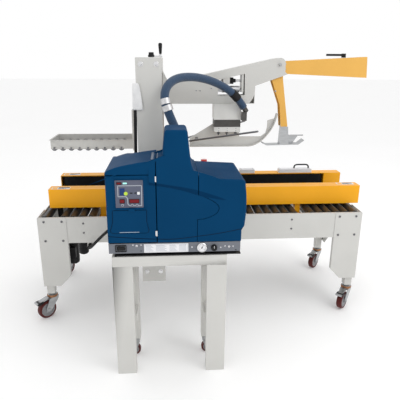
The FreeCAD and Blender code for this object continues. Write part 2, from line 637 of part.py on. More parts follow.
def melter():
    x0, x1, y0, y1 = MELTER_X0, MELTER_X1, MELTER_FRONT, MELTER_BACK
    plate = box(-410, 119, y0 + 7, y1 - 20, STAND_TOP, STAND_TOP + 5)
    feet = [rod(9, V(x, y, STAND_TOP + 5), V(x, y, PLATE_TOP)) for x in (-385, 95) for y in (y0 + 30, y1 - 45)]
    save("melter_mount_plate", joined(plate, *feet))

    base = box(x0, x1, y0, y1, PLATE_TOP, BASE_TOP)
    base = base.cut(box(x0 + 3, x1 - 3, y0 + 3, y1 - 3, PLATE_TOP + 3, BASE_TOP))
    switch = V(-382, y0, 618)
    base = base.cut(box(switch.x - 17, switch.x + 17, y0 - 1, y0 + 4, switch.z - 9, switch.z + 9))
    base = base.cut(rod(5 + RUN, V(4, y0 - 1, 616), V(4, y0 + 4, 616)))
    save("melter_base", base)

    rocker = joined(box(-15.5, 15.5, -4, 3, -8, 8), rod(4, V(0, 0, -8), V(0, 0, 8)))
    rocker.translate(V(switch.x, y0, switch.z))
    save("power_switch", rocker)
    knob = joined(rod(12.5, V(4, y0 - 20, 616), V(4, y0 - 1, 616)), rod(5, V(4, y0 - 1, 616), V(4, y0 + 20, 616)))
    save("regulator_knob", knob)
    gauge = rod(21, V(-46, y0 - 9, 616.5), V(-46, y0, 616.5))
    save("pressure_gauge", gauge)

    # the electrical box behind the door, then the tank and pump cover right of it
    case_left = box(x0 + 6, DOOR_X - 1, y0 + 26, y1, BASE_TOP, LID_Z - 2)
    case_left = case_left.cut(box(x0 + 9, DOOR_X - 3, y0 + 25, y1 - 3, BASE_TOP + 3, LID_Z - 2))
    front = outline_xz(
        (DOOR_X, BASE_TOP), (x1 + 2, BASE_TOP), (x1 + 2, 690), (131, 706), ((136, 786), (131, 876)),
        ((128, 896), (112, 904)), (-36, 913), ((-70, 930), (-88, 966)), (-93, TOWER_Z0), (DOOR_X, 988))
    side = [(y0 - 2, BASE_TOP), (y0 - 2, 1010), (HOOD_BACK, 1010), (-510, 930), (y1, 910), (y1, BASE_TOP)]
    cover = thick(front, y0 - 2, y1).common(slab_yz(side, x0, x1 + 40))
    hollow_side = [(y0 + 2, BASE_TOP), (y0 + 2, 1004), (HOOD_BACK - 2, 1004), (-512, 926), (y1 - 4, 906),
                   (y1 - 4, BASE_TOP)]
    hollow = thick(front.makeOffset2D(-4, 2), y0 - 2, y1).common(slab_yz(hollow_side, x0, x1 + 40))
    hollow = hollow.fuse(box(DOOR_X + 4, x1 - 2, y0 + 2, y1 - 4, BASE_TOP, BASE_TOP + 8))
    hollow = hollow.fuse(box(-193, -106, y0 + 8, TOWER_BACK - 4, BASE_TOP, TOWER_Z0))
    bridge = box(DOOR_X - 3, DOOR_X + 2, y0 + 60, y1 - 10, 700, 900)
    save("melter_housing", joined(case_left, bridge, cover.cut(hollow)))

    tower = thick(outline_xz((-205, TOWER_Z0), (-93, TOWER_Z0), (-99, 1045), (-105, 1092),
                             ((-108, 1102), (-116, TOWER_TOP)), (-182, TOWER_TOP), ((-190, 1102), (-194, 1092)),
                             (-201, 1045)), y0, TOWER_BACK)
    tower = tower.cut(box(-193, -106, y0 + 4, TOWER_BACK, TOWER_Z0, TOWER_TOP - 12))
    save("melter_tower", tower)

    door = box(x0, DOOR_X - 1, y0 - 5, y0 + 24, BASE_TOP + 4, LID_Z - 3)
    door = door.makeFillet(5, [e for e in door.Edges if max(v.Y for v in e.Vertexes) < y0])
    door = door.cut(box(x0 + 4, DOOR_X - 5, y0, y0 + 25, BASE_TOP + 8, LID_Z - 7))
    knuckles = [rod(3.5, DOOR_HINGE + V(0, 0, z), DOOR_HINGE + V(0, 0, z + 24)) for z in (672, 901)]
    save("melter_door", joined(door, *knuckles))

    lid_front = outline_xz((x0, LID_Z), (DOOR_X - 1, LID_Z), (DOOR_X - 1, 988), ((-319, 975), (-381, 962)),
                           (x0, 943))
    lid_side = [(y0 - 5, LID_Z), (y0 - 5, 1010), (HOOD_BACK, 1010), (-510, 945), (y1, 938), (y1, LID_Z)]
    lid = thick(lid_front, y0 - 5, y1).common(slab_yz(lid_side, x0 - 1, DOOR_X))
    lid = lid.cut(slab_yz([(y0, LID_Z), (y0, LID_Z + 8), (y1 - 20, LID_Z + 5), (y1 - 20, LID_Z)],
                          x0 + 5, DOOR_X - 6))
    save("melter_lid", joined(lid, rod(3.5, LID_HINGE - V(70, 0, 0), LID_HINGE + V(70, 0, 0))))

    tank = box(-60, 100, -740, -540, 660, 885).cut(box(-52, 92, -732, -548, 680, 885))
    pump_at = V(-148, -712, 0)
    pump = joined(rod(28, pump_at + V(0, 0, 660), pump_at + V(0, 0, 760)),
                  rod(38, pump_at + V(0, 0, 760), pump_at + V(0, 0, 1080)))
    save("melt_tank", tank, pump)


# ---------------------------------------------------------------- hose and cable
def route_path(points):
    """Straight runs joined by tangent arcs, each as large as its two runs allow."""
    runs = [(b - a).Length for a, b in zip(points, points[1:])]
    edges, start, radii = [], points[0], []
    for before, corner, after, run_in, run_out in zip(points, points[1:], points[2:], runs, runs[1:]):
        inward, outward = (corner - before).normalize(), (after - corner).normalize()
        turn = inward.getAngle(outward)
        back = 0.45 * min(run_in, run_out)
        bend = back / math.tan(turn / 2)
        a, b = corner - inward * back, corner + outward * back
        centre_way = (outward - inward).normalize()
        middle = corner + centre_way * (bend / math.cos(turn / 2) - bend)
        edges.append(Part.LineSegment(start, a).toShape())
        edges.append(Part.Arc(a, middle, b).toShape())
        start = b
        radii.append(round(bend))
    edges.append(Part.LineSegment(start, points[-1]).toShape())
    print("bend radii:", radii)
    return Part.Wire(edges)


def tube_along(path, radius):
    start = path.Edges[0]
    ring = Part.Wire(Part.makeCircle(radius, start.valueAt(start.FirstParameter),
                                     start.tangentAt(start.FirstParameter)))
    tube = path.makePipeShell([ring], True, False)
    share = tube.Volume / (math.pi * radius ** 2 * path.Length)
    print(f"tube of radius {radius}: length {path.Length:.0f}, volume over section times length {share:.4f}")
    return tube


def sleeve_on(path, distance, radius, length, bore):
    """A straight sleeve around a route, centred a given distance along it."""
    points = path.discretize(Distance=1.0)
    at = points[round(distance)]
    way = (points[round(distance) + 8] - points[round(distance) - 8]).normalize()
    near, far = at - way * (length / 2), at + way * (length / 2)
    return rod(radius, near, far).cut(rod(bore, near - way, far + way))


HOSE_RADIUS = 20.0
HOSE_ROUTE = [
    V(-110, -446, 964), V(-138, -450, 1042), V(-170, -450, 1121), V(-196, -438, 1196), V(-184, -396, 1262),
    V(-136, -336, 1297), V(-68, -276, 1302), V(6, -216, 1288), V(78, -164, 1259), V(140, -124, 1220),
    V(192, -93, 1172), V(230, -72, 1118),
]
SIGNAL_RADIUS = 7.5
SIGNAL_ROUTE = [
    V(-606, -250, 411), V(-606, -294, 411), V(-594, -336, 426), V(-567, -366, 460), V(-533, -380, 499),
    V(-493, -379, 535), V(-448, -368, 565), V(-402, -364, 590), V(-362, -382, 608), V(-338, -424, 618),
    V(-338, MELTER_BACK, 618),
]


def hose_and_cable():
    hose = route_path(HOSE_ROUTE)
    save("glue_hose", tube_along(hose, HOSE_RADIUS))
    save("signal_cable", tube_along(route_path(SIGNAL_ROUTE), SIGNAL_RADIUS))
    start, onward = HOSE_ROUTE[0], (HOSE_ROUTE[1] - HOSE_ROUTE[0]).normalize()
    ferrule = rod(15, start - onward * 30, start)
    manifold = joined(box(-140, -80, MELTER_BACK, -428, 890, 944), ferrule)
    coupling = [sleeve_on(hose, distance, radius, 26, HOSE_RADIUS + 1.2)
                for distance, radius in ((202, 24.5), (232, 23.5))]
    save("hose_fittings", manifold, *coupling)


# ---------------------------------------------------------------- emergency stop
STOP = V(49, 330, 721)


def emergency_stop():
    """Push button in a box on a post that is screwed to the outside of the rear rail."""
    case = box(STOP.x - 35, STOP.x + 35, STOP.y - 30, STOP.y + 30, STOP.z - 66, STOP.z)
    case = case.cut(rod(11 + RUN, STOP - V(0, 0, 12), STOP + V(0, 0, 1)))
    post = box(STOP.x - 15, STOP.x + 15, RAIL_FACE, RAIL_FACE + 8, 500, STOP.z - 40)
    save("estop_box", joined(case, post))
    save("estop_button", joined(rod(20, STOP + V(0, 0, 8), STOP + V(0, 0, 22)), rod(11, STOP, STOP + V(0, 0, 8))))


def main():
    os.makedirs("parts", exist_ok=True)
    bed_frame()
    deck_rollers()
    legs()
    screw_heads()
    for name in ("front", "rear"):
        belt_side(name)
    columns()
    crank_handle()
    head_carriage()
    main_beam()
    infeed_cover()
    ratchet_handle()
    kick_cylinder()
    star_knob()
    gun_parts()
    plow_ski()
    fold_rods()
    press_tray()
    kicker()
    for name, x, y, angle in (("front_left", -1, -1, 43), ("front_right", 1, -1, 47),
                              ("rear_left", -1, 1, 40), ("rear_right", 1, 1, 45)):
        caster(f"caster_{name}", V(x * POST_X, y * POST_Y, 0), angle)
    for name, side, angle in (("left", -1, 0), ("right", 1, 180)):
        stand_caster(f"stand_caster_{name}", V(STAND_X + side * REAR_LEG_X, STAND_REAR - 20, 0), angle)
    stand()
    melter()
    hose_and_cable()
    emergency_stop()


main()
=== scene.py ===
"""Looks of the hot-melt carton sealer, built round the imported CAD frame.

Places are in millimetres from the middle of the conveyor bed and the floor, as at() reads them:
X along the conveyor, Y across it with the glue unit in front at -Y, Z up.
"""
import json
import math

import bmesh
import bpy
from mathutils import Matrix, Vector


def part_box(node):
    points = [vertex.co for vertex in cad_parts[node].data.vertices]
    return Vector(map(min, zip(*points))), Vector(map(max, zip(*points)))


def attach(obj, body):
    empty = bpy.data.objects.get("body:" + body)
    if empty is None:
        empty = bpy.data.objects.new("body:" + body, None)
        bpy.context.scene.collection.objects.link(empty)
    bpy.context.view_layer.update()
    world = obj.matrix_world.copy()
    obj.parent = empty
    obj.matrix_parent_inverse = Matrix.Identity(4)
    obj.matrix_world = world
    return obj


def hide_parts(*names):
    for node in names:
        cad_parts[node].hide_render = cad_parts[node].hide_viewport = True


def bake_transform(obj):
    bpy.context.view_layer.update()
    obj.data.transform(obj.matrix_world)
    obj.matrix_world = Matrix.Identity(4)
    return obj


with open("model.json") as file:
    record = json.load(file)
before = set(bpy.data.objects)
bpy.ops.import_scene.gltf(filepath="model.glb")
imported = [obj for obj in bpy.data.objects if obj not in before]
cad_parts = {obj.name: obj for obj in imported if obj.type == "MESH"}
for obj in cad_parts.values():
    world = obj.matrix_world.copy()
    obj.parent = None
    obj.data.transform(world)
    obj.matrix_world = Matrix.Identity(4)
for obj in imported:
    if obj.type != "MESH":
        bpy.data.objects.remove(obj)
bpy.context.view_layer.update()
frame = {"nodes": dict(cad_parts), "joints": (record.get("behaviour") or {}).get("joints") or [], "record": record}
NODES = frame["nodes"]
BED_LOW, BED_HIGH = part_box("bed_frame")
MIDDLE = Vector(((BED_LOW.x + BED_HIGH.x) / 2, (BED_LOW.y + BED_HIGH.y) / 2, 0))


def at(x, y, z):
    """The point of the row frame, in metres, that lies at these millimetres."""
    return MIDDLE + Vector((x, y, z)) / 1000


def millimetres(point):
    """The opposite of at()."""
    return (point - MIDDLE) * 1000


def span(node):
    """Lowest and highest corner of a CAD node in millimetres."""
    return [millimetres(corner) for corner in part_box(node)]


def linked(name, data):
    """A new object in the scene."""
    made = bpy.data.objects.new(name, data)
    bpy.context.scene.collection.objects.link(made)
    return made


def joint_of(body):
    """The joint that carries a body."""
    return next(joint for joint in frame["joints"] if joint["child"] == body)


# ---- camera, floor and light
def make_camera():
    yaw, pitch, roll = 0.072, 0.307, 0.006
    ahead = Vector((math.sin(yaw) * math.cos(pitch), math.cos(yaw) * math.cos(pitch), -math.sin(pitch)))
    level = Vector((math.cos(yaw), -math.sin(yaw), 0))
    over = level.cross(ahead)
    right = level * math.cos(roll) + over * math.sin(roll)
    up = over * math.cos(roll) - level * math.sin(roll)
    data = bpy.data.cameras.new("camera")
    data.sensor_width = 36
    data.lens = 40.094
    camera = linked("camera", data)
    turn = Matrix((right, up, -ahead)).transposed().to_4x4()
    camera.matrix_world = Matrix.Translation(at(-179, -2502, 1367)) @ turn
    bpy.context.scene.camera = camera


def make_world():
    """Even white light; what the camera sees of it directly is pure white."""
    world = bpy.data.worlds.new("studio")
    world.use_nodes = True
    nodes, links = world.node_tree.nodes, world.node_tree.links
    path = nodes.new("ShaderNodeLightPath")
    level = nodes.new("ShaderNodeMapRange")
    level.inputs["To Min"].default_value = 0.90
    level.inputs["To Max"].default_value = 1.0
    links.new(path.outputs["Is Camera Ray"], level.inputs["Value"])
    links.new(level.outputs["Result"], nodes["Background"].inputs["Strength"])
    nodes["Background"].inputs["Color"].default_value = (1, 1, 1, 1)
    bpy.context.scene.world = world


def make_stage():
    half = 30
    corners = [(-half, -half, 0), (half, -half, 0), (half, half, 0), (-half, half, 0)]
    mesh = bpy.data.meshes.new("floor")
    mesh.from_pydata(corners, [], [(0, 1, 2, 3)])
    floor = linked("floor", mesh)
    look = Look("floor", (0.95, 0.95, 0.95), 0.9)
    look.mottle(0.01, 0.8)
    look.set("Emission Color", (1, 1, 1, 1))
    look.set("Emission Strength", 0.09)
    mesh.materials.append(look.material)
    for name, spot, size, power in (
        ("key", (2300, -2500, 3200), 2.2, 36),
        ("fill", (-2500, -2300, 2900), 2.6, 5),
        ("top", (200, 500, 4200), 3.5, 12),
    ):
        light = bpy.data.lights.new(name, "AREA")
        light.size = size
        light.energy = power
        lamp = linked(name, light)
        lamp.location = at(*spot)
        lamp.rotation_euler = (at(0, -150, 600) - lamp.location).to_track_quat("-Z", "Y").to_euler()


# ---- materials
LOOKS = {}


class Look:
    """A procedural material: a base colour and roughness, to which each method adds one kind of detail."""

    def __init__(self, name, colour, roughness, metallic=0.0, coat=0.0, specular=0.25):
        self.material = bpy.data.materials.new(name)
        self.material.use_nodes = True
        LOOKS[name] = self
        self.nodes, self.links = self.material.node_tree.nodes, self.material.node_tree.links
        self.shader = self.nodes["Principled BSDF"]
        self.colour = colour
        self.set("Base Color", (*colour, 1))
        self.set("Roughness", roughness)
        self.set("Metallic", metallic)
        self.set("Coat Weight", coat)
        self.set("Specular IOR Level", 0.5 if metallic else specular)
        self.roughness = roughness
        self.normal = None

    def set(self, socket, value):
        self.shader.inputs[socket].default_value = value

    def place(self, stretch=(1, 1, 1)):
        """Coordinates that stay on the piece, in metres, stretched along the axes."""
        coordinates = self.nodes.new("ShaderNodeTexCoord")
        mapping = self.nodes.new("ShaderNodeMapping")
        mapping.inputs["Scale"].default_value = stretch
        self.links.new(coordinates.outputs["Object"], mapping.inputs["Vector"])
        return mapping.outputs["Vector"]

    def noise(self, size, detail=2.0, stretch=(1, 1, 1)):
        texture = self.nodes.new("ShaderNodeTexNoise")
        texture.inputs["Scale"].default_value = 1 / size
        texture.inputs["Detail"].default_value = detail
        self.links.new(self.place(stretch), texture.inputs["Vector"])
        return texture.outputs["Fac"]

    def ranged(self, value, low, high, start=0.3, end=0.7):
        node = self.nodes.new("ShaderNodeMapRange")
        for socket, number in (("From Min", start), ("From Max", end), ("To Min", low), ("To Max", high)):
            node.inputs[socket].default_value = number
        self.links.new(value, node.inputs["Value"])
        return node.outputs["Result"]

    def tint(self, value, low, high):
        """Colour between two shades of the base colour, or two colours, as value goes from 0 to 1."""
        node = self.nodes.new("ShaderNodeMix")
        node.data_type = "RGBA"
        for socket, shade in ((6, low), (7, high)):
            shade = shade if isinstance(shade, tuple) else tuple(min(1, c * shade) for c in self.colour)
            node.inputs[socket].default_value = (*shade, 1)
        self.links.new(value, node.inputs[0])
        self.links.new(node.outputs[2], self.shader.inputs["Base Color"])
        return node.outputs[2]

    def mottle(self, amount, size, stretch=(1, 1, 1)):
        """Soft patches: the colour and roughness drift a little across the surface."""
        patches = self.noise(size, 4.0, stretch)
        self.tint(self.ranged(patches, 0, 1), 1 - amount, 1 + amount)
        self.links.new(self.ranged(patches, self.roughness * 1.15, self.roughness * 0.88),
                       self.shader.inputs["Roughness"])
        return self

    def relief(self, value, depth):
        """Relief of a depth in metres, on top of any added before."""
        node = self.nodes.new("ShaderNodeBump")
        node.inputs["Strength"].default_value = 1.0
        node.inputs["Distance"].default_value = depth
        self.links.new(value, node.inputs["Height"])
        if self.normal is not None:
            self.links.new(self.normal, node.inputs["Normal"])
        self.normal = node.outputs["Normal"]
        self.links.new(self.normal, self.shader.inputs["Normal"])
        return self

    def grain(self, depth, size, stretch=(1, 1, 1)):
        return self.relief(self.noise(size, 3.0, stretch), depth)

    def bands(self, size, axis, depth):
        """Parallel ribs a given distance apart along an axis."""
        texture = self.nodes.new("ShaderNodeTexWave")
        texture.bands_direction = axis
        texture.inputs["Scale"].default_value = 0.314 / size
        self.links.new(self.place(), texture.inputs["Vector"])
        return self.relief(texture.outputs["Fac"], depth)


def powder_coat(name, colour, roughness=0.42):
    return Look(name, colour, roughness).mottle(0.035, 0.22).grain(0.00025, 0.0022)


def highlit_edge(name, colour, roughness):
    """The same paint a little lighter and glossier, for the faces of rounded edges: a painted highlight along the
    edges.
    """
    lighter = tuple(c + (0.75 - c) * 0.12 for c in colour)
    return Look(name, lighter, roughness * 0.8).mottle(0.10, 0.02).grain(0.0002, 0.0015)


def brushed(name, colour, roughness, stretch):
    look = Look(name, colour, roughness, 1.0)
    look.mottle(0.10, 0.05, stretch)
    return look.grain(0.00006, 0.004, stretch)


def braided(name, colour):
    """Two families of threads that cross on the slant round a hose."""
    look = Look(name, colour, 0.62)
    look.set("Sheen Weight", 0.25)
    weave = []
    for turn in (0.7, -0.7):
        texture = look.nodes.new("ShaderNodeTexWave")
        texture.inputs["Scale"].default_value = 55
        texture.inputs["Distortion"].default_value = 0.4
        mapping = look.nodes.new("ShaderNodeMapping")
        mapping.inputs["Rotation"].default_value = (0, 0, turn)
        coordinates = look.nodes.new("ShaderNodeTexCoord")
        look.links.new(coordinates.outputs["UV"], mapping.inputs["Vector"])
        look.links.new(mapping.outputs["Vector"], texture.inputs["Vector"])
        weave.append(texture.outputs["Fac"])
    most = look.nodes.new("ShaderNodeMath")
    most.operation = "MAXIMUM"
    for socket, value in zip(most.inputs, weave):
        look.links.new(value, socket)
    look.tint(look.ranged(most.outputs[0], 0, 1, 0.2, 1.0), 0.45, 1.35)
    return look.relief(most.outputs[0], 0.0012)


def glow(name, colour, strength):
    look = Look(name, colour, 0.3).mottle(0.06, 0.004)
    look.set("Emission Color", (*colour, 1))
    look.set("Emission Strength", strength)
    return look


GREY, YELLOW, ARM_YELLOW = (0.60, 0.595, 0.57), (0.93, 0.42, 0.010), (0.77, 0.43, 0.095)
BLUE, BLACK = (0.0, 0.042, 0.118), (0.009, 0.009, 0.010)
powder_coat("frame_paint", GREY)
# A lighter copy of each paint for its rounded edges: a painted highlight.
highlit_edge("frame_highlit_edge", GREY, 0.42)
powder_coat("yellow_paint", YELLOW, 0.34)
highlit_edge("yellow_highlit_edge", YELLOW, 0.34)
powder_coat("arm_yellow", ARM_YELLOW, 0.5)
Look("blue_paint", BLUE, 0.5, specular=0.06).mottle(0.06, 0.25).grain(0.0003, 0.003)
# Darker blue for the downward-facing band under the brow's ridge: painted shade.
Look("blue_brow_shade", (0.0, 0.028, 0.084), 0.5, specular=0.04).mottle(0.06, 0.25)
# Near-black blue: painted shade in the grooves, gaps and hollows cut out of the shells; it also colours the strips
# on the back wall of the electrical case.
Look("blue_dark", (0.002, 0.010, 0.030), 0.6).mottle(0.10, 0.02).grain(0.0002, 0.002)
# Pale blue for the slim rib on the flap: a painted highlight.
Look("blue_flap_highlight", (0.35, 0.43, 0.52), 0.4).mottle(0.05, 0.03)
powder_coat("grey_base", (0.165, 0.175, 0.20), 0.5)
Look("black_paint", BLACK, 0.4).mottle(0.12, 0.06).grain(0.0005, 0.0014)
highlit_edge("black_highlit_edge", BLACK, 0.4)
brushed("zinc", (0.46, 0.47, 0.48), 0.36, (1, 1, 6))
ALONG_Y = (1, 8, 1)
# Deck rollers: steel with its colour darkened to near black, a painted dark reflection of the gaps and housings
# round them.
rollers = Look("roller_painted_reflection", (0.035, 0.035, 0.036), 0.4, 0.35)
rollers.mottle(0.2, 0.05, ALONG_Y).grain(0.0001, 0.004, ALONG_Y)
brushed("bright_steel", (0.72, 0.72, 0.73), 0.2, (1, 1, 30))
brushed("aluminium", (0.62, 0.62, 0.63), 0.42, (4, 4, 4))
brushed("dark_steel", (0.22, 0.22, 0.23), 0.34, (6, 1, 6))
Look("stainless", (0.72, 0.72, 0.70), 0.36).mottle(0.05, 0.06).grain(0.0001, 0.004, (1, 1, 12))
Look("gun_grey", (0.085, 0.082, 0.078), 0.45).mottle(0.12, 0.02).grain(0.0003, 0.002)
brushed("copper", (0.34, 0.17, 0.09), 0.35, (1, 1, 12))
Look("black_plastic", BLACK, 0.5).mottle(0.15, 0.02).grain(0.0002, 0.0008)
Look("white_plastic", (0.80, 0.80, 0.82), 0.4).mottle(0.03, 0.03).grain(0.0001, 0.001)
Look("film", (0.80, 0.80, 0.80), 0.25).mottle(0.05, 0.03).grain(0.0008, 0.018)
Look("red_plastic", (0.55, 0.008, 0.008), 0.22, coat=0.5).mottle(0.05, 0.02).grain(0.00006, 0.001)
Look("belt_rubber", (0.008, 0.009, 0.010), 0.7, specular=0.12).mottle(0.25, 0.05).bands(0.010, "X", 0.0003)
Look("tyre_pu", (0.085, 0.010, 0.008), 0.45).mottle(0.15, 0.01).grain(0.0002, 0.002)
braided("hose_sleeve", (0.022, 0.056, 0.115))
Look("cable_black", (0.012, 0.012, 0.012), 0.45).mottle(0.2, 0.01).grain(0.0002, 0.001)
Look("panel_grey", (0.11, 0.12, 0.17), 0.4).mottle(0.05, 0.03).grain(0.00008, 0.0006)
Look("hub_grey", (0.26, 0.26, 0.27), 0.45).mottle(0.10, 0.01).grain(0.0002, 0.002)
Look("panel_blue", (0.01, 0.04, 0.16), 0.3).mottle(0.06, 0.01)
Look("panel_line", (0.42, 0.45, 0.50), 0.4).mottle(0.04, 0.01)
glow("display_red", (0.16, 0.003, 0.008), 0.08)
glow("lamp_green", (0.38, 0.52, 0.05), 0.4)
glow("lamp_cyan", (0.35, 0.75, 0.68), 0.35)
# Each paint and its lighter copy, which paints a highlight on rounded edges.
EDGE_HIGHLIGHT = {"frame_paint": "frame_highlit_edge", "yellow_paint": "yellow_highlit_edge", "black_paint": "black_highlit_edge"}


def paint(name):
    return LOOKS[name].material


# ---- surfaces
def smooth_by_angle(limit):
    """Node group that shades a mesh smooth, but keeps edges sharper than limit degrees."""
    group = bpy.data.node_groups.new("smooth_by_angle", "GeometryNodeTree")
    for way in ("INPUT", "OUTPUT"):
        group.interface.new_socket("Geometry", in_out=way, socket_type="NodeSocketGeometry")
    start, end = group.nodes.new("NodeGroupInput"), group.nodes.new("NodeGroupOutput")
    angle, test = group.nodes.new("GeometryNodeInputMeshEdgeAngle"), group.nodes.new("FunctionNodeCompare")
    test.operation = "LESS_THAN"
    test.inputs["B"].default_value = math.radians(limit)
    group.links.new(angle.outputs["Unsigned Angle"], test.inputs["A"])
    source = start.outputs["Geometry"]
    for domain in ("FACE", "EDGE"):
        shade = group.nodes.new("GeometryNodeSetShadeSmooth")
        shade.domain = domain
        group.links.new(source, shade.inputs["Geometry"])
        source = shade.outputs["Geometry"]
        if domain == "EDGE":
            group.links.new(test.outputs["Result"], shade.inputs["Shade Smooth"])
    group.links.new(source, end.inputs["Geometry"])
    return group


SMOOTH = smooth_by_angle(32)


def soften(piece, bevel):
    """Rounds a piece's sharp edges by bevel millimetres and shades the rest smooth."""
    if bevel:
        weld = piece.modifiers.new("weld", "WELD")
        weld.merge_threshold = 0.00001
        rounding = piece.modifiers.new("bevel", "BEVEL")
        rounding.width = bevel / 1000
        rounding.segments = 2
        rounding.limit_method = "ANGLE"
        rounding.angle_limit = math.radians(40)
        # The bevel faces take the second material when it is a lighter edge copy of the paint: a painted
        # highlight.
        if len(piece.data.materials) > 1 and piece.data.materials[1].name.endswith("_edge"):
            rounding.material = 1
    piece.modifiers.new("smooth", "NODES").node_group = SMOOTH
    normals = piece.modifiers.new("normals", "WEIGHTED_NORMAL")
    normals.keep_sharp = True


def circle(side, over, steps):
    """Points of a unit circle in the plane of two vectors."""
    angles = [k * math.tau / steps for k in range(steps)]
    return [side * math.cos(angle) + over * math.sin(angle) for angle in angles]


FORWARD, UP = (0, -1, 0), (0, 0, 1)


def mesh_object(name, mesh):
    """A bmesh as an object in the scene."""
    bmesh.ops.recalc_face_normals(mesh, faces=mesh.faces)
    data = bpy.data.meshes.new(name)
    mesh.to_mesh(data)
    mesh.free()
    return linked(name, data)


class Kit:
    """Collects the closed shapes of one piece; place turns and moves the shapes that follow."""

    def __init__(self):
        self.mesh, self.place = bmesh.new(), Matrix()

    def skin(self, rings, look=0, closed=False):
        """A skin through rings of points, capped at both ends, or closed from the last ring to the first."""
        loops = [[self.mesh.verts.new(at(*(self.place @ Vector(p)))) for p in ring] for ring in rings]
        pairs = list(zip(loops, loops[1:]))
        faces = []
        if closed:
            pairs.append((loops[-1], loops[0]))
        else:
            faces += [self.mesh.faces.new(loops[0]), self.mesh.faces.new(loops[-1])]
        for low, high in pairs:
            quads = [(low[k - 1], low[k], high[k], high[k - 1]) for k in range(len(low))]
            faces += [self.mesh.faces.new(quad) for quad in quads]
        for face in faces:
            face.material_index = look
        return self

    def block(self, x0, x1, y0, y1, z0, z1, look=0):
        return self.skin([[(x0, y0, z), (x1, y0, z), (x1, y1, z), (x0, y1, z)] for z in (z0, z1)], look)

    def slab(self, outline, y0, y1, look=0):
        """An outline of (x, z) points between two Y planes."""
        return self.skin([[(x, y, z) for x, z in outline] for y in (y0, y1)], look)

    def turned(self, base, axis, profile, look=0, closed=False, steps=28):
        """A profile of (radius, distance along the axis), turned about an axis through base."""
        axis = Vector(axis).normalized()
        side = axis.orthogonal().normalized()
        spokes = circle(side, axis.cross(side), steps)
        rings = [[Vector(base) + axis * along + spoke * radius for spoke in spokes]
                 for radius, along in profile]
        return self.skin(rings, look, closed)

    def screw(self, spot, axis, radius, look=0):
        """A button-head screw with a hexagon socket."""
        height = radius * 0.62
        self.turned(spot, axis, [(radius, -0.5), (radius, height * 0.3), (radius * 0.86, height * 0.75),
                                 (radius * 0.55, height), (radius * 0.5, height)], look, steps=18)
        # The socket is a flat hexagon in the next look, just proud of the head and not a hole; where that look is
        # black it is painted shade for the socket's hollow.
        socket = [(radius * 0.4, -0.4), (radius * 0.4, 0.05)]
        return self.turned(Vector(spot) + Vector(axis) * height, axis, socket, look + 1, steps=6)

    def nut(self, spot, axis, radius, height, look=0):
        profile = [(radius, -0.5), (radius, height * 0.8), (radius * 0.88, height)]
        return self.turned(spot, axis, profile, look, steps=6)

    def tube(self, points, radius, look=0, steps=14):
        """A round bar along a line of points."""
        points = [Vector(p) for p in points]
        ways = [(b - a).normalized() for a, b in zip(points[:1] + points, points[1:] + points[-1:])
                if (b - a).length > 0]
        side = ways[0].orthogonal().normalized()
        rings = []
        for point, way in zip(points, ways + ways[-1:]):
            side = (side - way * side.dot(way)).normalized()
            rings.append([point + spoke * radius for spoke in circle(side, way.cross(side), steps)])
        return self.skin(rings, look)

    def made(self, name):
        """The finished mesh as an object."""
        return mesh_object(name, self.mesh)


def finish(kit, name, body, looks, bevel=0.4, stands_for=(), cutters=()):
    """The piece takes the looks as its materials, in the order given."""
    piece = kit.made(name)
    for look in looks:
        piece.data.materials.append(paint(look))
    for cutter in cutters:
        tool = cutter.made(name + "_cutter")
        for look in looks:
            tool.data.materials.append(paint(look))
        cut = piece.modifiers.new("cut", "BOOLEAN")
        cut.object, cut.operation, cut.solver = tool, "DIFFERENCE", "EXACT"
        shaped = piece.evaluated_get(bpy.context.evaluated_depsgraph_get())
        piece.data = bpy.data.meshes.new_from_object(shaped)
        piece.modifiers.clear()
        bpy.data.objects.remove(tool)
    soften(piece, bevel)
    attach(piece, body)
    if stands_for:
        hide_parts(*stands_for)
    return piece


# ---- outlines
def rounded(corners):
    """A closed outline out of (x, z) points and (x, z, radius) corners, which are rounded."""
    outline = []
    for before, corner, after in zip(corners[-1:] + corners[:-1], corners, corners[1:] + corners[:1]):
        here, radius = Vector(corner[:2]), corner[2] if len(corner) > 2 else 0
        if not radius:
            outline.append(here)
            continue
        back, on = (Vector(before[:2]) - here).normalized(), (Vector(after[:2]) - here).normalized()
        half = back.angle(on) / 2
        centre = here + (back + on).normalized() * radius / math.sin(half)
        first = here + back * radius / math.tan(half) - centre
        last = here + on * radius / math.tan(half) - centre
        turn = math.atan2(first.x * last.y - first.y * last.x, first.dot(last))
        count = max(2, round(abs(math.degrees(turn)) / 11))
        for k in range(count + 1):
            c, s = math.cos(turn * k / count), math.sin(turn * k / count)
            outline.append(centre + Vector((first.x * c - first.y * s, first.x * s + first.y * c)))
    return outline


def through(points, steps=5):
    """An open smooth line through a few points."""
    points = [Vector(p) for p in points]
    line = []
    for k in range(len(points) - 1):
        a, b, c, d = points[max(k - 1, 0)], points[k], points[k + 1], points[min(k + 2, len(points) - 1)]
        for n in range(steps):
            t = n / steps
            line.append((b * 2 + (c - a) * t + (a * 2 - b * 5 + c * 4 - d) * t ** 2
                         + (b * 3 - a - c * 3 + d) * t ** 3) / 2)
    return line + [points[-1]]


def beside(line, distance):
    """The same open line, moved to its left."""
    moved = []
    for k, here in enumerate(line):
        way = (line[min(k + 1, len(line) - 1)] - line[max(k - 1, 0)]).normalized()
        moved.append(here + Vector((-way.y, way.x)) * distance)
    return moved


def strip(line, width):
    """Outline of a strip of even width along an open line."""
    return beside(line, width / 2) + beside(line, -width / 2)[::-1]


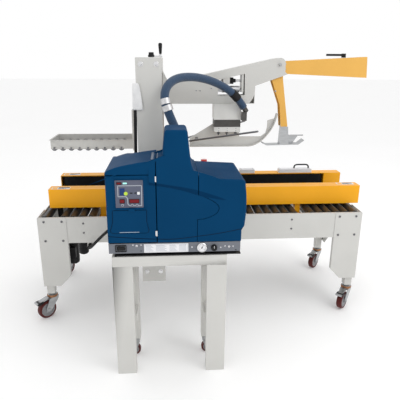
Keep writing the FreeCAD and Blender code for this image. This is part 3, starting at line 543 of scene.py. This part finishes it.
def inset(outline, depths):
    """A closed outline moved inwards by a depth for each point."""
    area = sum(a.x * b.y - b.x * a.y for a, b in zip(outline[-1:] + outline[:-1], outline))
    side = 1 if area > 0 else -1
    moved = []
    neighbours = zip(outline[-1:] + outline[:-1], outline, outline[1:] + outline[:1], depths)
    for before, here, after, depth in neighbours:
        a, b = (here - before).normalized(), (after - here).normalized()
        normals = [Vector((-way.y, way.x)) * side for way in (a, b)]
        moved.append(here + (normals[0] + normals[1]) * depth / (1 + normals[0].dot(normals[1])))
    return moved


def moulding(kit, outline, front, back, soft, back_soft=1.5, ceiling=None, stations=(), look=0):
    """A moulded shell from Y=front to Y=back. soft is how far its front edge is rounded, a number or
    a function of the point, and ceiling(y) the height above which its top is cut away."""
    steps = 5
    outline = [Vector(p) for p in outline]
    front_depths, back_depths = [[depth(p) if callable(depth) else depth for p in outline]
                                 for depth in (soft, back_soft)]
    rings = []

    def ring(depths, planes):
        points = [(p.x, y, p.y) for p, y in zip(inset(outline, depths), planes)]
        if ceiling:
            points = [(x, y, min(z, ceiling(y))) for x, y, z in points]
        rings.append(points)

    def rounding(depths, plane, inwards, order):
        for k in order:
            s, c = math.sin(k / steps * math.pi / 2), math.cos(k / steps * math.pi / 2)
            ring([d * (1 - s) for d in depths], [plane + inwards * d * (1 - c) for d in depths])

    ring([d + 0.6 for d in front_depths], [front] * len(outline))
    rounding(front_depths, front, 1, range(steps + 1))
    for y in stations:
        ring([0] * len(outline), [y] * len(outline))
    rounding(back_depths, back, -1, range(steps, -1, -1))
    ring([d + 0.6 for d in back_depths], [back] * len(outline))
    return kit.skin(rings, look)


def smoothstep(value, low, high):
    t = min(1, max(0, (value - low) / (high - low)))
    return t * t * (3 - 2 * t)


# ---- glue hose and signal cable
HOSE_ROUTE = [
    (-110, -446, 964), (-138, -450, 1042), (-171, -450, 1118), (-197, -438, 1186), (-186, -396, 1247),
    (-138, -336, 1280), (-68, -276, 1285), (6, -216, 1273), (78, -164, 1247), (140, -124, 1213),
    (192, -93, 1170), (230, -72, 1118),
]
HOSE_RADIUS, HOSE_LENGTH = 20, 0.894
CUFF_FROM_END = (0.062, 0.118)
SIGNAL_ROUTE = [
    (-606, -250, 411), (-606, -294, 411), (-594, -336, 426), (-567, -366, 460), (-533, -380, 499),
    (-493, -379, 535), (-448, -368, 565), (-402, -364, 590), (-362, -382, 608), (-338, -424, 618),
    (-338, -471, 618),
]
SIGNAL_RADIUS, SIGNAL_LENGTH = 7.5, 0.496


def spline(name, route):
    """A smooth curve with the route's points as its control points."""
    data = bpy.data.curves.new(name, "CURVE")
    data.dimensions = "3D"
    data.resolution_u = 12
    line = data.splines.new("NURBS")
    line.points.add(len(route) - 1)
    for point, spot in zip(line.points, route):
        point.co = (*at(*spot), 1)
    line.order_u = 3
    line.use_endpoint_u = True
    return linked(name, data)


def signal_cable():
    cable = spline("signal_cable_jacket", SIGNAL_ROUTE)
    cable.data.bevel_depth = SIGNAL_RADIUS / 1000
    cable.data.bevel_resolution = 6
    cable.data.use_fill_caps = True
    cable.data.materials.append(paint("cable_black"))
    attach(cable, "machine_frame")
    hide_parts("signal_cable")
    kit = Kit()
    for base, start in ((SIGNAL_ROUTE[0], 11.6), (SIGNAL_ROUTE[-1], -29)):
        kit.turned(base, FORWARD, [(11, start), (11, start + 4), (10, start + 6), (8.2, start + 29),
                                      (7.6, start + 29)])
    glands = finish(kit, "signal_cable_glands", "machine_frame", ["black_plastic"])


def tube_mesh(name, line, radius, steps=24):
    """A round tube along a line of points in metres, with UVs in metres along and around it."""
    mesh, rings, travelled = bmesh.new(), [], [0.0]
    uv = mesh.loops.layers.uv.new("along")
    side = (line[1] - line[0]).orthogonal().normalized()
    for k, point in enumerate(line):
        way = (line[min(k + 1, len(line) - 1)] - line[max(k - 1, 0)]).normalized()
        side = (side - way * side.dot(way)).normalized()
        spokes = circle(side, way.cross(side), steps)
        rings.append([mesh.verts.new(point + spoke * radius) for spoke in spokes])
        if k:
            travelled.append(travelled[-1] + (point - line[k - 1]).length)
    width = math.tau * radius / steps
    for k in range(len(rings) - 1):
        for n in range(steps):
            m = (n + 1) % steps
            face = mesh.faces.new((rings[k][n], rings[k][m], rings[k + 1][m], rings[k + 1][n]))
            face.smooth = True
            for loop, place in zip(face.loops, ((k, n), (k, n + 1), (k + 1, n + 1), (k + 1, n))):
                loop[uv].uv = (travelled[place[0]], place[1] * width)
    for ring in (rings[0], rings[-1]):
        mesh.faces.new(ring)
    return mesh_object(name, mesh), travelled


def glue_hose():
    curve = spline("hose_line", HOSE_ROUTE)
    traced = bpy.data.meshes.new_from_object(curve)
    line = [vertex.co.copy() for vertex in traced.vertices]
    bpy.data.objects.remove(curve)
    hose, travelled = tube_mesh("glue_hose_sleeve", line, HOSE_RADIUS / 1000)
    hose.data.materials.append(paint("hose_sleeve"))
    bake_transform(hose)
    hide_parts("glue_hose")

    total = travelled[-1]
    near, far = CUFF_FROM_END
    near_gun = [millimetres(p) for p, d in zip(line, travelled) if total - far < d < total - near]
    cuff = finish(Kit().tube(near_gun, HOSE_RADIUS + 3.2, steps=24), "hose_cuff", "press_head",
                  ["black_plastic"], 2.0)
    onward = Vector(HOSE_ROUTE[1]) - Vector(HOSE_ROUTE[0])
    union = Kit().nut(HOSE_ROUTE[0], onward, 23.5, 15)
    union.turned(HOSE_ROUTE[0], onward, [(21.5, 14), (21.5, 30), (20.6, 31)])
    union = finish(union, "hose_union", "machine_frame", ["dark_steel"])


# ---- glue unit
MELTER_FRONT, MELTER_BACK = -792, -471
DOOR_FRONT = -793
SEAM = 1.6
TOP_BREAK, LIP = -600, -510  # behind these lines the tops fall away towards the back


def ceiling_of(fall, lip, lip_fall):
    """Height limit of a top that falls away behind TOP_BREAK, and again beyond the lip at the back."""
    def ceiling(y):
        if y < LIP:
            return 1010 - max(0, y - TOP_BREAK) * fall / (LIP - TOP_BREAK)
        return lip - (y - LIP) * lip_fall / (MELTER_BACK - LIP)
    return ceiling


COVER_CEILING, LID_CEILING = ceiling_of(80, 930, 20), ceiling_of(65, 945, 7)


def centre_seam():
    """The seam from the top of the centre cover down round its tongue to the skirt."""
    tongue = [(-62, 843), (-38, 835), (-10, 821), (13, 804), (22, 787), (13, 767), (-10, 752), (-38, 743),
              (-66, 740)]
    return through([(-63, 922), (-62, 890), (-62, 866)], 1) + through(tongue) + [Vector((-67, 641))]


def skirt_groove():
    line = through([(-440, 674), (-330, 664), (-241, 658), (-159, 656), (-55, 667), (28, 678), (111, 694),
                    (145, 705)])
    # The groove's faces take the shell's second look, near-black: painted shade in the seam.
    return Kit().slab(strip(line, 2.6), -802, MELTER_FRONT + 1.8, 1)


def level(line, x):
    """Height of an open line where it passes x."""
    for a, b in zip(line, line[1:]):
        if a.x <= x <= b.x:
            return a.y + (b.y - a.y) * (x - a.x) / max(b.x - a.x, 1e-6)
    return line[0].y if x < line[0].x else line[-1].y


def shell(kit, name, body="machine_frame", stands_for=(), cutters=()):
    """A blue moulded shell of the glue unit; faces cut by a cutter in its second look are near-black blue, painted
    shade in the cut.
    """
    return finish(kit, name, body, ["blue_paint", "blue_dark"], 0, stands_for, cutters)


def brow(name, x0, x1, front, body="machine_frame"):
    """A stretch of the raised brow that sweeps across the front and fades out at its right end."""
    kit = Kit()
    ridge = through([(-280, 906.5), (-215, 897), (-176, 890), (-116, 879), (-76, 870), (-8, 848), (75, 815)])
    foot = through([(-280, 890), (-216, 882), (-176, 875), (-116, 860), (-64, 842), (0, 826), (75, 808)])
    rings = []
    steps = max(3, round((x1 - x0) / 9))
    for k in range(steps + 1):
        x = x0 + (x1 - x0) * k / steps
        proud = 6.5 * (1 - smoothstep(x, -120, 75)) + 0.15
        high, low = level(ridge, x), level(foot, x)
        profile = [(low, 0.0), (low + 0.45 * (high - low), 0.62), (high - 1.5, 0.96), (high + 1.5, 1.0),
                   (high + 14, 0.88), (high + 34, 0.5), (high + 56, 0.15), (high + 74, 0.0)]
        rings.append([(x, front + 0.4 - proud * share, z) for z, share in profile]
                     + [(x, front + 3, high + 74), (x, front + 3, low)])
    kit.skin(rings)
    kit.mesh.faces.ensure_lookup_table()
    wide = len(rings[0])
    # The band from the foot up to the ridge takes the second look: painted shade under the ridge.
    for number, face in enumerate(kit.mesh.faces):
        if number > 1 and (number - 2) % wide in (1, 2):
            face.material_index = 1
    finish(kit, name, body, ["blue_paint", "blue_brow_shade"], 0.3)


def centre_cover():
    tower = rounded([(-206, 991, 8), (-201, 1045), (-194, 1106, 14), (-105, 1106, 14), (-99, 1045)])[:-1]
    flare = through([(-99, 1045), (-93, 992), (-88, 966), (-79, 943), (-64, 926)], 4)
    outline = [Vector((-230, 641)), Vector((-230, 986))] + tower + flare + centre_seam()

    def soft(p):
        return 11 if p.y > 925 and p.x > -228 else 1.6

    kit = moulding(Kit(), outline, MELTER_FRONT, -640, soft, lambda p: 8 if p.y > 993 else 0.3)
    hood = [Vector((-230, 641)), Vector((-230, 986)), Vector((-206, 991)), Vector((-93, 992))] + flare[5:]
    hood += [Vector((-63, 922)), Vector((-67, 641))]
    back = moulding(Kit(), hood, -641, MELTER_BACK, 0.3, 6, COVER_CEILING,
                    (-610, TOP_BREAK, -570, -540, -510))
    shell(kit, "melter_centre_cover", stands_for=["melter_housing", "melter_tower"], cutters=[skirt_groove()])
    shell(back, "melter_hood")
    brow("melter_brow_centre", -229.3, -63.5, MELTER_FRONT)


def tank_cover():
    side = through([(131, 706), (135, 746), (136.5, 790), (135, 840), (131, 876)])
    outline = beside(centre_seam(), SEAM)[::-1]
    outline += rounded([(-36, 913), (129, 904, 16), (131, 876)])[:-1] + side[::-1]
    outline += rounded([(131, 706), (118, 690, 4), (118, 641)])[1:]

    def soft(p):
        return 10 if p.y > 902 or (p.x > 100 and p.y > 700) else 1.6

    kit = moulding(Kit(), outline, MELTER_FRONT, MELTER_BACK, soft, 6, COVER_CEILING,
                   (-640, TOP_BREAK, -540, -510))
    shell(kit, "melter_tank_cover", cutters=[skirt_groove()])
    brow("melter_brow_right", -60, 72, MELTER_FRONT)


def hopper_lid():
    top = through([(-232.5, 987), (-275, 982), (-319, 975), (-381, 962), (-424, 946)], 3)
    outline = [Vector((-432, 931)), Vector((-232.5, 931))] + top + [Vector((-431, 941))]

    def soft(p):
        return 1.6 if p.y < 935 or p.x > -233 else 9

    kit = moulding(Kit(), outline, DOOR_FRONT, MELTER_BACK, soft, 4, LID_CEILING,
                   (-640, TOP_BREAK, -570, -540, -510))
    kit.turned((-401, -468.5, 934), (1, 0, 0), [(3.5, 0), (3.5, 140)])
    shell(kit, "melter_lid_shell", "melter_lid", ["melter_lid"])
    vent("lid_vent", "melter_lid", -251, -234.5, 984.5)
    vent("hood_vent", "machine_frame", -228.5, -211, 986.2)


def vent(name, body, x0, x1, top):
    """A grey louvred patch let into the top, on one side of the seam."""
    kit = Kit().block(x0, x1, -762, -620, top - 6, top + 0.6)
    for k in range(11):
        kit.block(x0 + 1.5, x1 - 1.5, -757 + 12.5 * k, -751 + 12.5 * k, top - 1, top + 1.6, 1)
    finish(kit, name, body, ["panel_grey", "panel_line"], 0)


def rectangle(x0, x1, z0, z1, radius):
    return rounded([(x0, z0, radius), (x1, z0, radius), (x1, z1, radius), (x0, z1, radius)])


def frame_ring(kit, outer, inner, y0, y1, look=0):
    """A flat frame between two outlines with the same number of points."""
    rings = [(outer, y1), (outer, y0), (inner, y0), (inner, y1)]
    return kit.skin([[(p.x, y, p.y) for p in outline] for outline, y in rings], look, closed=True)


def control_door():
    x0, x1 = -432, -233.5

    def soft(p):
        return 11 if p.x < x0 + 3 and p.y > 652 else 1.6

    kit = moulding(Kit(), [Vector(p) for p in ((x0, 643.5), (x1, 643.5), (x1, 928.5), (x0, 928.5))],
                   DOOR_FRONT, -768, soft)
    mouth, floor = rectangle(-408, -260, 783, 923, 9), rectangle(-394.5, -282.5, 793, 908, 3)
    recess = Kit().skin([[(p.x, -795.5, p.y) for p in mouth], [(p.x, -783.5, p.y) for p in floor]])
    # The door's hollow inside is cut with near-black faces: painted shade.
    inside = Kit().block(x0 + 4, x1 - 4, -781, -760, 648, 924, 1)
    flap = rounded([(-407, 784, 3), (-272, 784, 3), (-273, 733, 24), (-264, 697, 8), (-270, 687, 4),
                    (-413, 688, 4), (-420, 697, 8), (-408, 733, 24)])
    # The flap sits in a cut 1.8 mm wider than itself, with near-black faces: painted shade in the gap round it.
    outer, inner = inset(flap, [-1.8] * len(flap)), inset(flap, [1.0] * len(flap))
    gap = frame_ring(Kit(), outer, inner, -802, DOOR_FRONT + 2, 1)
    shell(kit, "melter_door_shell", "melter_door", ["melter_door"], [recess, inside, skirt_groove(), gap])
    brow("melter_brow_door", -259, x1 - 0.6, DOOR_FRONT, "melter_door")

    kit = moulding(Kit(), flap, DOOR_FRONT - 3.4, DOOR_FRONT + 3, 2.4)
    moulding(kit, rectangle(-344, -318, 778, 792, 3), DOOR_FRONT - 6, DOOR_FRONT, 2)
    # A slim pale rib near the foot of the flap: a painted highlight on the edge of its grip.
    kit.slab(rectangle(-383, -303, 690.4, 692.6, 1), DOOR_FRONT - 4.1, DOOR_FRONT - 2, 1)
    finish(kit, "melter_flap", "melter_door", ["blue_paint", "blue_flap_highlight"], 0)

    kit = Kit()
    for z in (672, 902):
        kit.turned((-232.5, -796.5, z), UP, [(2.6, 0), (3.5, 1), (3.5, 23), (2.6, 24)])
        kit.block(-238, -233, -796, -792, z + 2, z + 22)
    finish(kit, "melter_door_hinges", "melter_door", ["bright_steel"], 0.3)


def control_panel():
    """The control panel: display windows, keys and pilot lights, without any lettering."""
    looks = ["panel_grey", "panel_line", "panel_blue", "display_red", "lamp_green", "lamp_cyan",
             "white_plastic", "black_plastic"]
    grey, line, blue, red, green, cyan, white, black = range(len(looks))
    plate, raised = -785.4, -786.2
    kit = Kit().slab(rectangle(-394, -283, 793.5, 907.5, 3), plate, -782)
    bezel = rounded([(-384, 887, 2), (-287, 887, 2), (-289, 800, 2), (-339, 800, 2), (-347, 809, 2),
                     (-347, 832, 2), (-353, 839, 2), (-385, 839, 2)])
    frame_ring(kit, bezel, inset(bezel, [3.0] * len(bezel)), raised, plate + 1, line)
    for x0, x1, z0, z1, look in (
        (-386, -369, 892, 898.5, red), (-362, -346, 892, 898.5, cyan), (-376, -356, 846, 875, blue),
        (-376, -359, 814, 828, red), (-338, -301, 814, 828, red), (-336, -325, 852.5, 857, black),
        (-318, -310, 852.5, 857, black),
    ):
        kit.slab(rectangle(x0, x1, z0, z1, 1.2), raised, plate + 1, look)
        if look == red:
            frame_ring(kit, rectangle(x0 - 2, x1 + 2, z0 - 2, z1 + 2, 2), rectangle(x0, x1, z0, z1, 2),
                       raised - 0.5, plate + 1, black)
    kit.turned((-352, plate, 853), FORWARD, [(7.6, -1), (7.6, 1.6), (6.4, 2.6)], green)
    moulding(kit, rectangle(-307, -296, 848, 860, 2), raised - 1.6, plate + 1, 1.2, look=white)
    for x in (-367, -328, -309):
        kit.turned((x, plate, 804), FORWARD, [(5.4, -1), (5.4, 1.2), (4.6, 1.6)], line)
        kit.turned((x, plate, 804), FORWARD, [(3.6, 0), (3.6, 2.2), (2.8, 2.8)], grey)
    finish(kit, "melter_panel", "melter_door", looks, 0)


def electrical_case():
    """The box behind the door, with its terminals, under the deck and hopper mouth that the lid covers."""
    x0, x1, y0, z0, z1 = -430, -234, -764, 640, 926
    kit = Kit().block(x0, x0 + 3, y0, MELTER_BACK + 1, z0, z1).block(x1 - 3, x1, y0, MELTER_BACK + 1, z0, z1)
    kit.block(x0, x1, MELTER_BACK - 2, MELTER_BACK + 1, z0, z1).block(x0, x1, y0, MELTER_BACK + 1, z1 - 3, z1)
    kit.block(x0, x1, y0, MELTER_BACK + 1, z0, z0 + 3)
    for k in range(7):
        z = 690 + 24 * k
        kit.slab(rectangle(-400, -264, z, z + 5, 2.4), MELTER_BACK + 0.4, MELTER_BACK + 1.6, 1)
    for z in (700, 790, 870):
        kit.block(-415, -250, -480, -473, z, z + 8, 2)
        for k in range(14):
            kit.block(-410 + k * 11, -401 + k * 11, -505, -480, z - 16, z + 24, 3 if k % 5 else 4)
    mouth = [(66, -1), (66, 2.4), (63, 3.6), (58, 3.6), (52, -2), (52, -14)]
    kit.turned((-331, -625, 926), UP, mouth, 2)
    finish(kit, "melter_electrical_case", "machine_frame",
           ["blue_paint", "blue_dark", "zinc", "panel_line", "black_plastic"], 0.4)


def base_details():
    """Screws, blank nameplate, switch frame and gauge along the front of the base."""
    face = -790
    kit = Kit()
    for x, z, radius in ((-332, 632, 3), (-317, 628, 4.5), (-299, 631, 3), (-88, 617, 3.4), (33, 613, 3),
                         (51, 619, 3), (68, 616, 4.5), (85, 617, 3)):
        kit.screw((x, face, z), FORWARD, radius)
    for x, z in ((-300, 604), (97, 600)):
        kit.screw((x, face, z), FORWARD, 3, 1)
    moulding(kit, rectangle(-287, -103, 597, 635, 2), face - 1.6, face + 1, 0.5, look=0)
    frame_ring(kit, rectangle(-284, -106, 600, 632, 1.5), rectangle(-283.2, -106.8, 600.8, 631.2, 1.5),
               face - 1.9, face - 1, 2)
    for row, z in enumerate((604, 609, 614, 619, 624, 628)):
        for x0, x1 in ((-280, -248 - 5 * (row % 3)), (-238, -194 - 7 * (row % 2)),
                       (-182, -150 - 4 * (row % 3)), (-142, -112)):
            kit.block(x0, x1, face - 1.9, face - 1, z, z + 1.6, 2)
    finish(kit, "melter_base_details", "machine_frame", ["white_plastic", "black_plastic", "panel_line"], 0.2)
    kit = frame_ring(Kit(), rectangle(-405, -359, 602.5, 633.5, 3), rectangle(-402, -362, 606, 630, 1.5),
                     face - 3, face + 1)
    finish(kit, "power_switch_frame", "machine_frame", ["black_plastic"], 0.5)

    centre = Vector((-46, face, 616.5))
    kit = Kit().turned(centre, FORWARD, [(21, 0), (21, 7.5), (19.4, 9), (17.6, 8.2), (17.6, 0)], 0)
    kit.turned(centre, FORWARD, [(17.7, 0.2), (17.7, 6.4)], 1)
    for k in range(11):
        turn = math.radians(-135 + 27 * k)
        kit.place = Matrix.Translation(centre) @ Matrix.Rotation(turn, 4, "Y")
        kit.block(-0.35, 0.35, -6.8, -6, 12.5 if k % 5 else 10.5, 15.5, 2)
    kit.place = Matrix.Translation(centre) @ Matrix.Rotation(math.radians(28), 4, "Y")
    kit.slab([(-0.9, -5), (0.9, -5), (0.4, 12), (-0.4, 12)], -7.6, -7, 2)
    kit.turned((0, -6, 0), FORWARD, [(2.2, 0), (2.2, 2.2), (1.4, 2.6)], 2)
    finish(kit, "pressure_gauge_dial", "machine_frame", ["bright_steel", "white_plastic", "black_plastic"], 0,
           ["pressure_gauge"])


def regulator_knob():
    base = Vector((4, -790, 616))
    kit = Kit().turned(base, FORWARD, [(5, -10), (5, 1.5)])
    kit.turned(base, FORWARD, [(11, 1.2), (12.5, 3), (12.5, 16), (11.4, 18.6), (9, 19.8)])
    for k in range(18):
        turn = k * math.tau / 18
        spot = base + Vector((math.cos(turn), 0, math.sin(turn))) * 12.2
        kit.turned(spot, FORWARD, [(0.5, 3), (0.9, 5), (0.9, 14), (0.5, 16)], steps=8)
    kit.block(3.2, 4.8, -810.2, -808, 617, 627, 1)
    finish(kit, "regulator_knob_ribbed", "regulator_knob", ["black_plastic", "white_plastic"], 0,
           ["regulator_knob"])


# ---- casters
def wheel_of(name, tyre, hub):
    """A wheel: half profiles of (radius, distance from the middle), turned about the joint's axis."""
    tyre, hub = [half + [(radius, -along) for radius, along in half[::-1]] for half in (tyre, hub)]
    low, high = span(f"{name}_wheel")
    axis = joint_of(f"{name}_wheel")["axis"]
    kit = Kit().turned((low + high) / 2, axis, tyre, 0, closed=True, steps=48)
    kit.turned((low + high) / 2, axis, hub, 1, closed=True, steps=40)
    finish(kit, f"{name}_tyre", f"{name}_wheel", ["tyre_pu", "hub_grey"], 0, [f"{name}_wheel"])
    return (low + high) / 2, Vector(axis)


TYRE = [(38, -15), (46, -15), (49, -12.5), (50, -7)]
HUB = [(5.1, -19.5), (11, -19.5), (12, -18.5), (13, -13), (31, -11), (35, -14.6), (38.4, -14.6)]


def casters():
    for name in ("caster_front_left", "caster_front_right", "caster_rear_left", "caster_rear_right"):
        centre, axis = wheel_of(name, TYRE, HUB)
        post = millimetres(Vector(joint_of(f"{name}_fork")["pos_m"]))
        race = [(20, 116), (27.4, 116), (28.6, 119), (28.6, 126), (27.4, 129), (20, 129)]
        kit = Kit().turned((post.x, post.y, 0), UP, race, 0, closed=True, steps=40)
        for side in (-1, 1):
            kit.nut(centre + axis * side * 22.6, axis * side, 8.5, 5.5, 1)
        outward = (centre - Vector((post.x, post.y, centre.z))).normalized()
        turn = math.atan2(outward.y, outward.x)
        kit.place = Matrix.Translation((post.x, post.y, 0)) @ Matrix.Rotation(turn, 4, "Z")
        pad = rounded([(62, 108, 3), (62, 101, 2), (96, 93.5, 4), (100.2, 99, 4), (98, 107, 4)])
        kit.slab(pad, -19, 19, 2)
        for k in range(4):
            kit.block(68 + 7 * k, 71 + 7 * k, -17, 17, 105, 109.4, 2)
        finish(kit, f"{name}_trim", f"{name}_fork", ["copper", "zinc", "black_plastic"], 0.5)
    for name in ("stand_caster_left", "stand_caster_right"):
        wheel_of(name, [(22, -10), (28, -10), (30, -7)], [(4.1, -12.4), (8, -12.4), (9, -8), (22.3, -8)])


# ---- bed, belts and columns
LEG_FACE, RAIL_FACE, COLUMN_FACE = 300, 297, 370
COVER_TOP = 700


def screws():
    """The button-head screws of bed, legs and columns, in place of the plain CAD heads."""
    kit = Kit()
    for side in (-1, 1):
        out = (0, side, 0)
        for x in (-827, -736, 736, 827):
            for z in (455, 561):
                kit.screw((x, side * LEG_FACE, z), out, 6.5)
        for x in (-628, 475):
            for z in (496, 548):
                kit.screw((x, side * RAIL_FACE, z), out, 5.5)
        for x in (-301, -230):
            for z in (299, 1343):
                kit.turned((x, side * COLUMN_FACE, z), out, [(12, -0.5), (12, 1.0), (11, 1.6)], 2)
                kit.turned((x, side * COLUMN_FACE, z), out, [(8, 0), (8, 3.8), (6.5, 4.8)], 2, steps=6)
    finish(kit, "button_head_screws", "machine_frame", ["dark_steel", "black_plastic", "bright_steel"], 0,
           ["frame_screws"])


def sensor_boxes():
    """Two covers on top of the rear belt drive, the longer one with a handle."""
    kit = Kit()
    for x0, x1 in ((253, 344), (494, 698)):
        outline = rounded([(x0, COVER_TOP + 0.2), (x1, COVER_TOP + 0.2), (x1, 725, 4), (x0, 725, 4)])
        moulding(kit, outline, 116, 158, 2.5, 2.5)
        for x in (x0 + 9, x1 - 9):
            for y in (125, 149):
                kit.screw((x, y, 725), UP, 3, 2)
    arch = through([(593, 722), (594, 738), (606, 747), (637, 748), (669, 747), (681, 738), (682, 722)], 4)
    kit.tube([(p.x, 137, p.y) for p in arch], 4.5, 1)
    finish(kit, "sensor_covers", "rear_belt_unit", ["white_plastic", "black_plastic", "zinc"], 0)


def blank_labels():
    """End labels without lettering on the belt covers: a pale ground with a yellow and a black field."""
    looks = ["white_plastic", "black_plastic", "yellow_paint"]
    for name, body, x0, y0 in (
        ("front_left", "front_belt_unit", -806, -175),
        ("front_right", "front_belt_unit", 762, -158),
        ("rear_left", "rear_belt_unit", -806, 128),
    ):
        kit = Kit().block(x0, x0 + 96, y0, y0 + 38, COVER_TOP + 0.1, COVER_TOP + 0.5)
        kit.block(x0 + 4, x0 + 30, y0 + 4, y0 + 34, COVER_TOP + 0.4, COVER_TOP + 0.7, 2)
        kit.block(x0 + 34, x0 + 92, y0 + 20, y0 + 34, COVER_TOP + 0.4, COVER_TOP + 0.7, 1)
        for k in range(3):
            y = y0 + 5 + 5 * k
            kit.block(x0 + 34, x0 + 84 - 9 * k, y, y + 2, COVER_TOP + 0.4, COVER_TOP + 0.6, 1)
        finish(kit, f"{name}_label", body, looks, 0)


def column_details():
    kit = Kit().slab([(-354, 560), (-341, 560), (-325.4, 1150), (-339, 1150)], -366, -338)
    finish(kit, "column_cable_duct", "machine_frame", ["black_plastic"], 0.8)

    rows, columns = 18, 9
    points = []
    for k in range(rows + 1):
        v = k / rows
        left, right = -340 - 3 * v, -316 + 21 * math.sqrt(v)
        for n in range(columns + 1):
            u = n / columns
            wave = 2.2 * math.sin(5.5 * u + 3.1 * v) * v + 1.2 * math.sin(9 * v + 2 * u)
            bulge = 3 * math.sin(math.pi * u) * v
            points.append(at(left + (right - left) * u, -377 - wave - bulge, 1259 - 122 * v))
    wide = columns + 1
    faces = [(k * wide + n, k * wide + n + 1, (k + 1) * wide + n + 1, (k + 1) * wide + n)
             for k in range(rows) for n in range(columns)]
    data = bpy.data.meshes.new("document_film")
    data.from_pydata(points, [], faces)
    data.polygons.foreach_set("use_smooth", [True] * len(faces))
    film = linked("document_film", data)
    film.data.materials.append(paint("film"))
    thickness = film.modifiers.new("thickness", "SOLIDIFY")
    thickness.thickness = 0.0006
    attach(film, "machine_frame")


def motor_plates():
    """Blank rating plate, cover screws and cowl grooves of the two drive motors."""
    for name, side in (("front", -1), ("rear", 1)):
        low = span(f"{name}_gearmotor")[0]
        axis_y = side * 141
        groove = [(30, 0), (32, 0.6), (32, 3.4), (30, 4)]
        kit = Kit()
        for z in (low.z + 34, low.z + 40, 372, 378):
            kit.turned((-724, axis_y, z), UP, groove, 0, closed=True, steps=40)
        for y in (-28, 28):
            for x in (-700, -785):
                kit.screw((x, axis_y + y, 468), UP, 4, 1)
        kit.block(-780, -710, axis_y - side * 38.2, axis_y - side * 38.9, 418, 450, 1)
        finish(kit, f"{name}_motor_trim", f"{name}_belt_unit", ["black_paint", "zinc", "black_plastic"], 0.2)


# ---- pressing and folding head
def head_details():
    kit = Kit()
    for x, z in ((-25, 1203), (-4, 1203), (56, 1215)):
        kit.screw((x, -36, z), FORWARD, 4)
    kit.nut((427, -41, 1340), FORWARD, 9, 6)
    for z in (1317, 1343):
        kit.screw((457, -32.8, z), FORWARD, 4)
    for x in (100, 147, 195):
        for z in (987, 1001):
            for side in (-1, 1):
                kit.screw((x, side * 47.6, z), (0, side, 0), 2.6)
    for x in (-340, -320):
        kit.screw((-371.2, -70 if x < -330 else 70, 1040), (-1, 0, 0), 5)
    finish(kit, "head_screws", "press_head", ["zinc", "black_plastic"], 0)
    kit = Kit()
    for x in (100, 147, 195):
        for y in (-30, 30):
            kit.turned((x, y, 963), UP, [(2.2, 0), (4.2, 2.5), (4.2, 6.5)])
            kit.nut((x, y, 970), UP, 8.4, 6)
    finish(kit, "nozzle_tips", "press_head", ["dark_steel"], 0)
    kit = Kit().screw((411, -26, 1200), FORWARD, 5)
    finish(kit, "kicker_bolt", "kicker", ["zinc", "black_plastic"], 0)


def handles():
    """The crank with its grip, and the lobed adjuster knob."""
    low, high = span("crank_handle")
    hub = millimetres(Vector(joint_of("front_lift_screw")["pos_m"]))
    hub.z = low.z + 0.3
    grip = Vector((high.x - 9.5, high.y - 9.5, low.z))
    sleeve = [(10.05, 0), (14, 0), (14.6, 1.5), (14.6, 9), (12, 11), (11.6, 20), (10.05, 21)]
    kit = Kit().turned(hub, UP, sleeve, 0, closed=True, steps=40)
    way = (grip - hub).normalized() * 13
    reach = Vector((-way.y, way.x, 0)) * 0.6
    section = [reach * side + Vector((0, 0, z)) for side, z in ((-1, 1), (1, 1), (1, 7), (-1, 7))]
    kit.skin([[end + corner for corner in section] for end in (hub + way, grip)], 1)
    kit.turned(grip, UP, [(7, 0.5), (9, 4), (9, 7), (7, 11), (4, 13), (4, 17)], 1)
    kit.turned(grip, UP, [(5.4, 15), (6.4, 17), (8.0, 38), (9.4, 56), (8.6, 62), (5, 65)])
    finish(kit, "crank_handle_shaped", "front_lift_screw", ["black_plastic", "bright_steel"], 0,
           ["crank_handle"])

    middle = Vector((158, 0, 1254))
    kit = Kit().turned(middle, (1, 0, 0), [(6, -48), (6, 80)], 1)
    kit.turned(middle, (1, 0, 0), [(12, 2), (14.5, 0.6), (14.5, 20), (10.5, 23), (10, 34)])
    for k in range(6):
        turn = k * math.tau / 6
        spot = middle + Vector((0, math.cos(turn), math.sin(turn))) * 12.6
        kit.turned(spot, (1, 0, 0), [(4.4, 0), (6.2, 1.6), (6.2, 20), (4.4, 22)], steps=20)
    finish(kit, "star_knob_lobed", "star_knob", ["black_plastic", "bright_steel"], 0, ["star_knob"])


# ---- CAD nodes
OWN_LOOK = {"deck_rollers": "roller_painted_reflection", "infeed_cover": "arm_yellow", "kicker_arm": "arm_yellow",
            "fold_rods": "dark_steel", "press_rollers": "dark_steel", "gun_housing": "stainless",
            "glue_guns": "gun_grey", "kicker_foot": "zinc"}
BEVELS = {"frame_paint": 1.0, "yellow_paint": 1.0, "blue_paint": 1.0, "grey_base": 0.8, "black_paint": 0.8}


def dress_cad_nodes():
    """Gives each shown CAD node its material, and its edges a small round."""
    slots = {part["node"]: part["material_slot"] for part in frame["record"]["subparts"]}
    for name, piece in NODES.items():
        slot = slots[name]
        piece.data.materials.clear()
        piece.data.materials.append(paint(OWN_LOOK.get(name, slot)))
        # Grey, yellow and black painted nodes get the lighter edge copy as a second material: a painted highlight
        # on their rounded edges.
        if slot in EDGE_HIGHLIGHT and name not in OWN_LOOK:
            piece.data.materials.append(paint(EDGE_HIGHLIGHT[slot]))
        soften(piece, BEVELS.get(slot, 0.4))


for make in (
    make_camera, signal_cable, glue_hose, make_world, make_stage, centre_cover, tank_cover, hopper_lid,
    control_door, control_panel, electrical_case, base_details, regulator_knob, casters, screws,
    sensor_boxes, blank_labels, column_details, motor_plates, head_details, handles, dress_cad_nodes,
):
    make()
bpy.context.scene.view_settings.view_transform = "Standard"
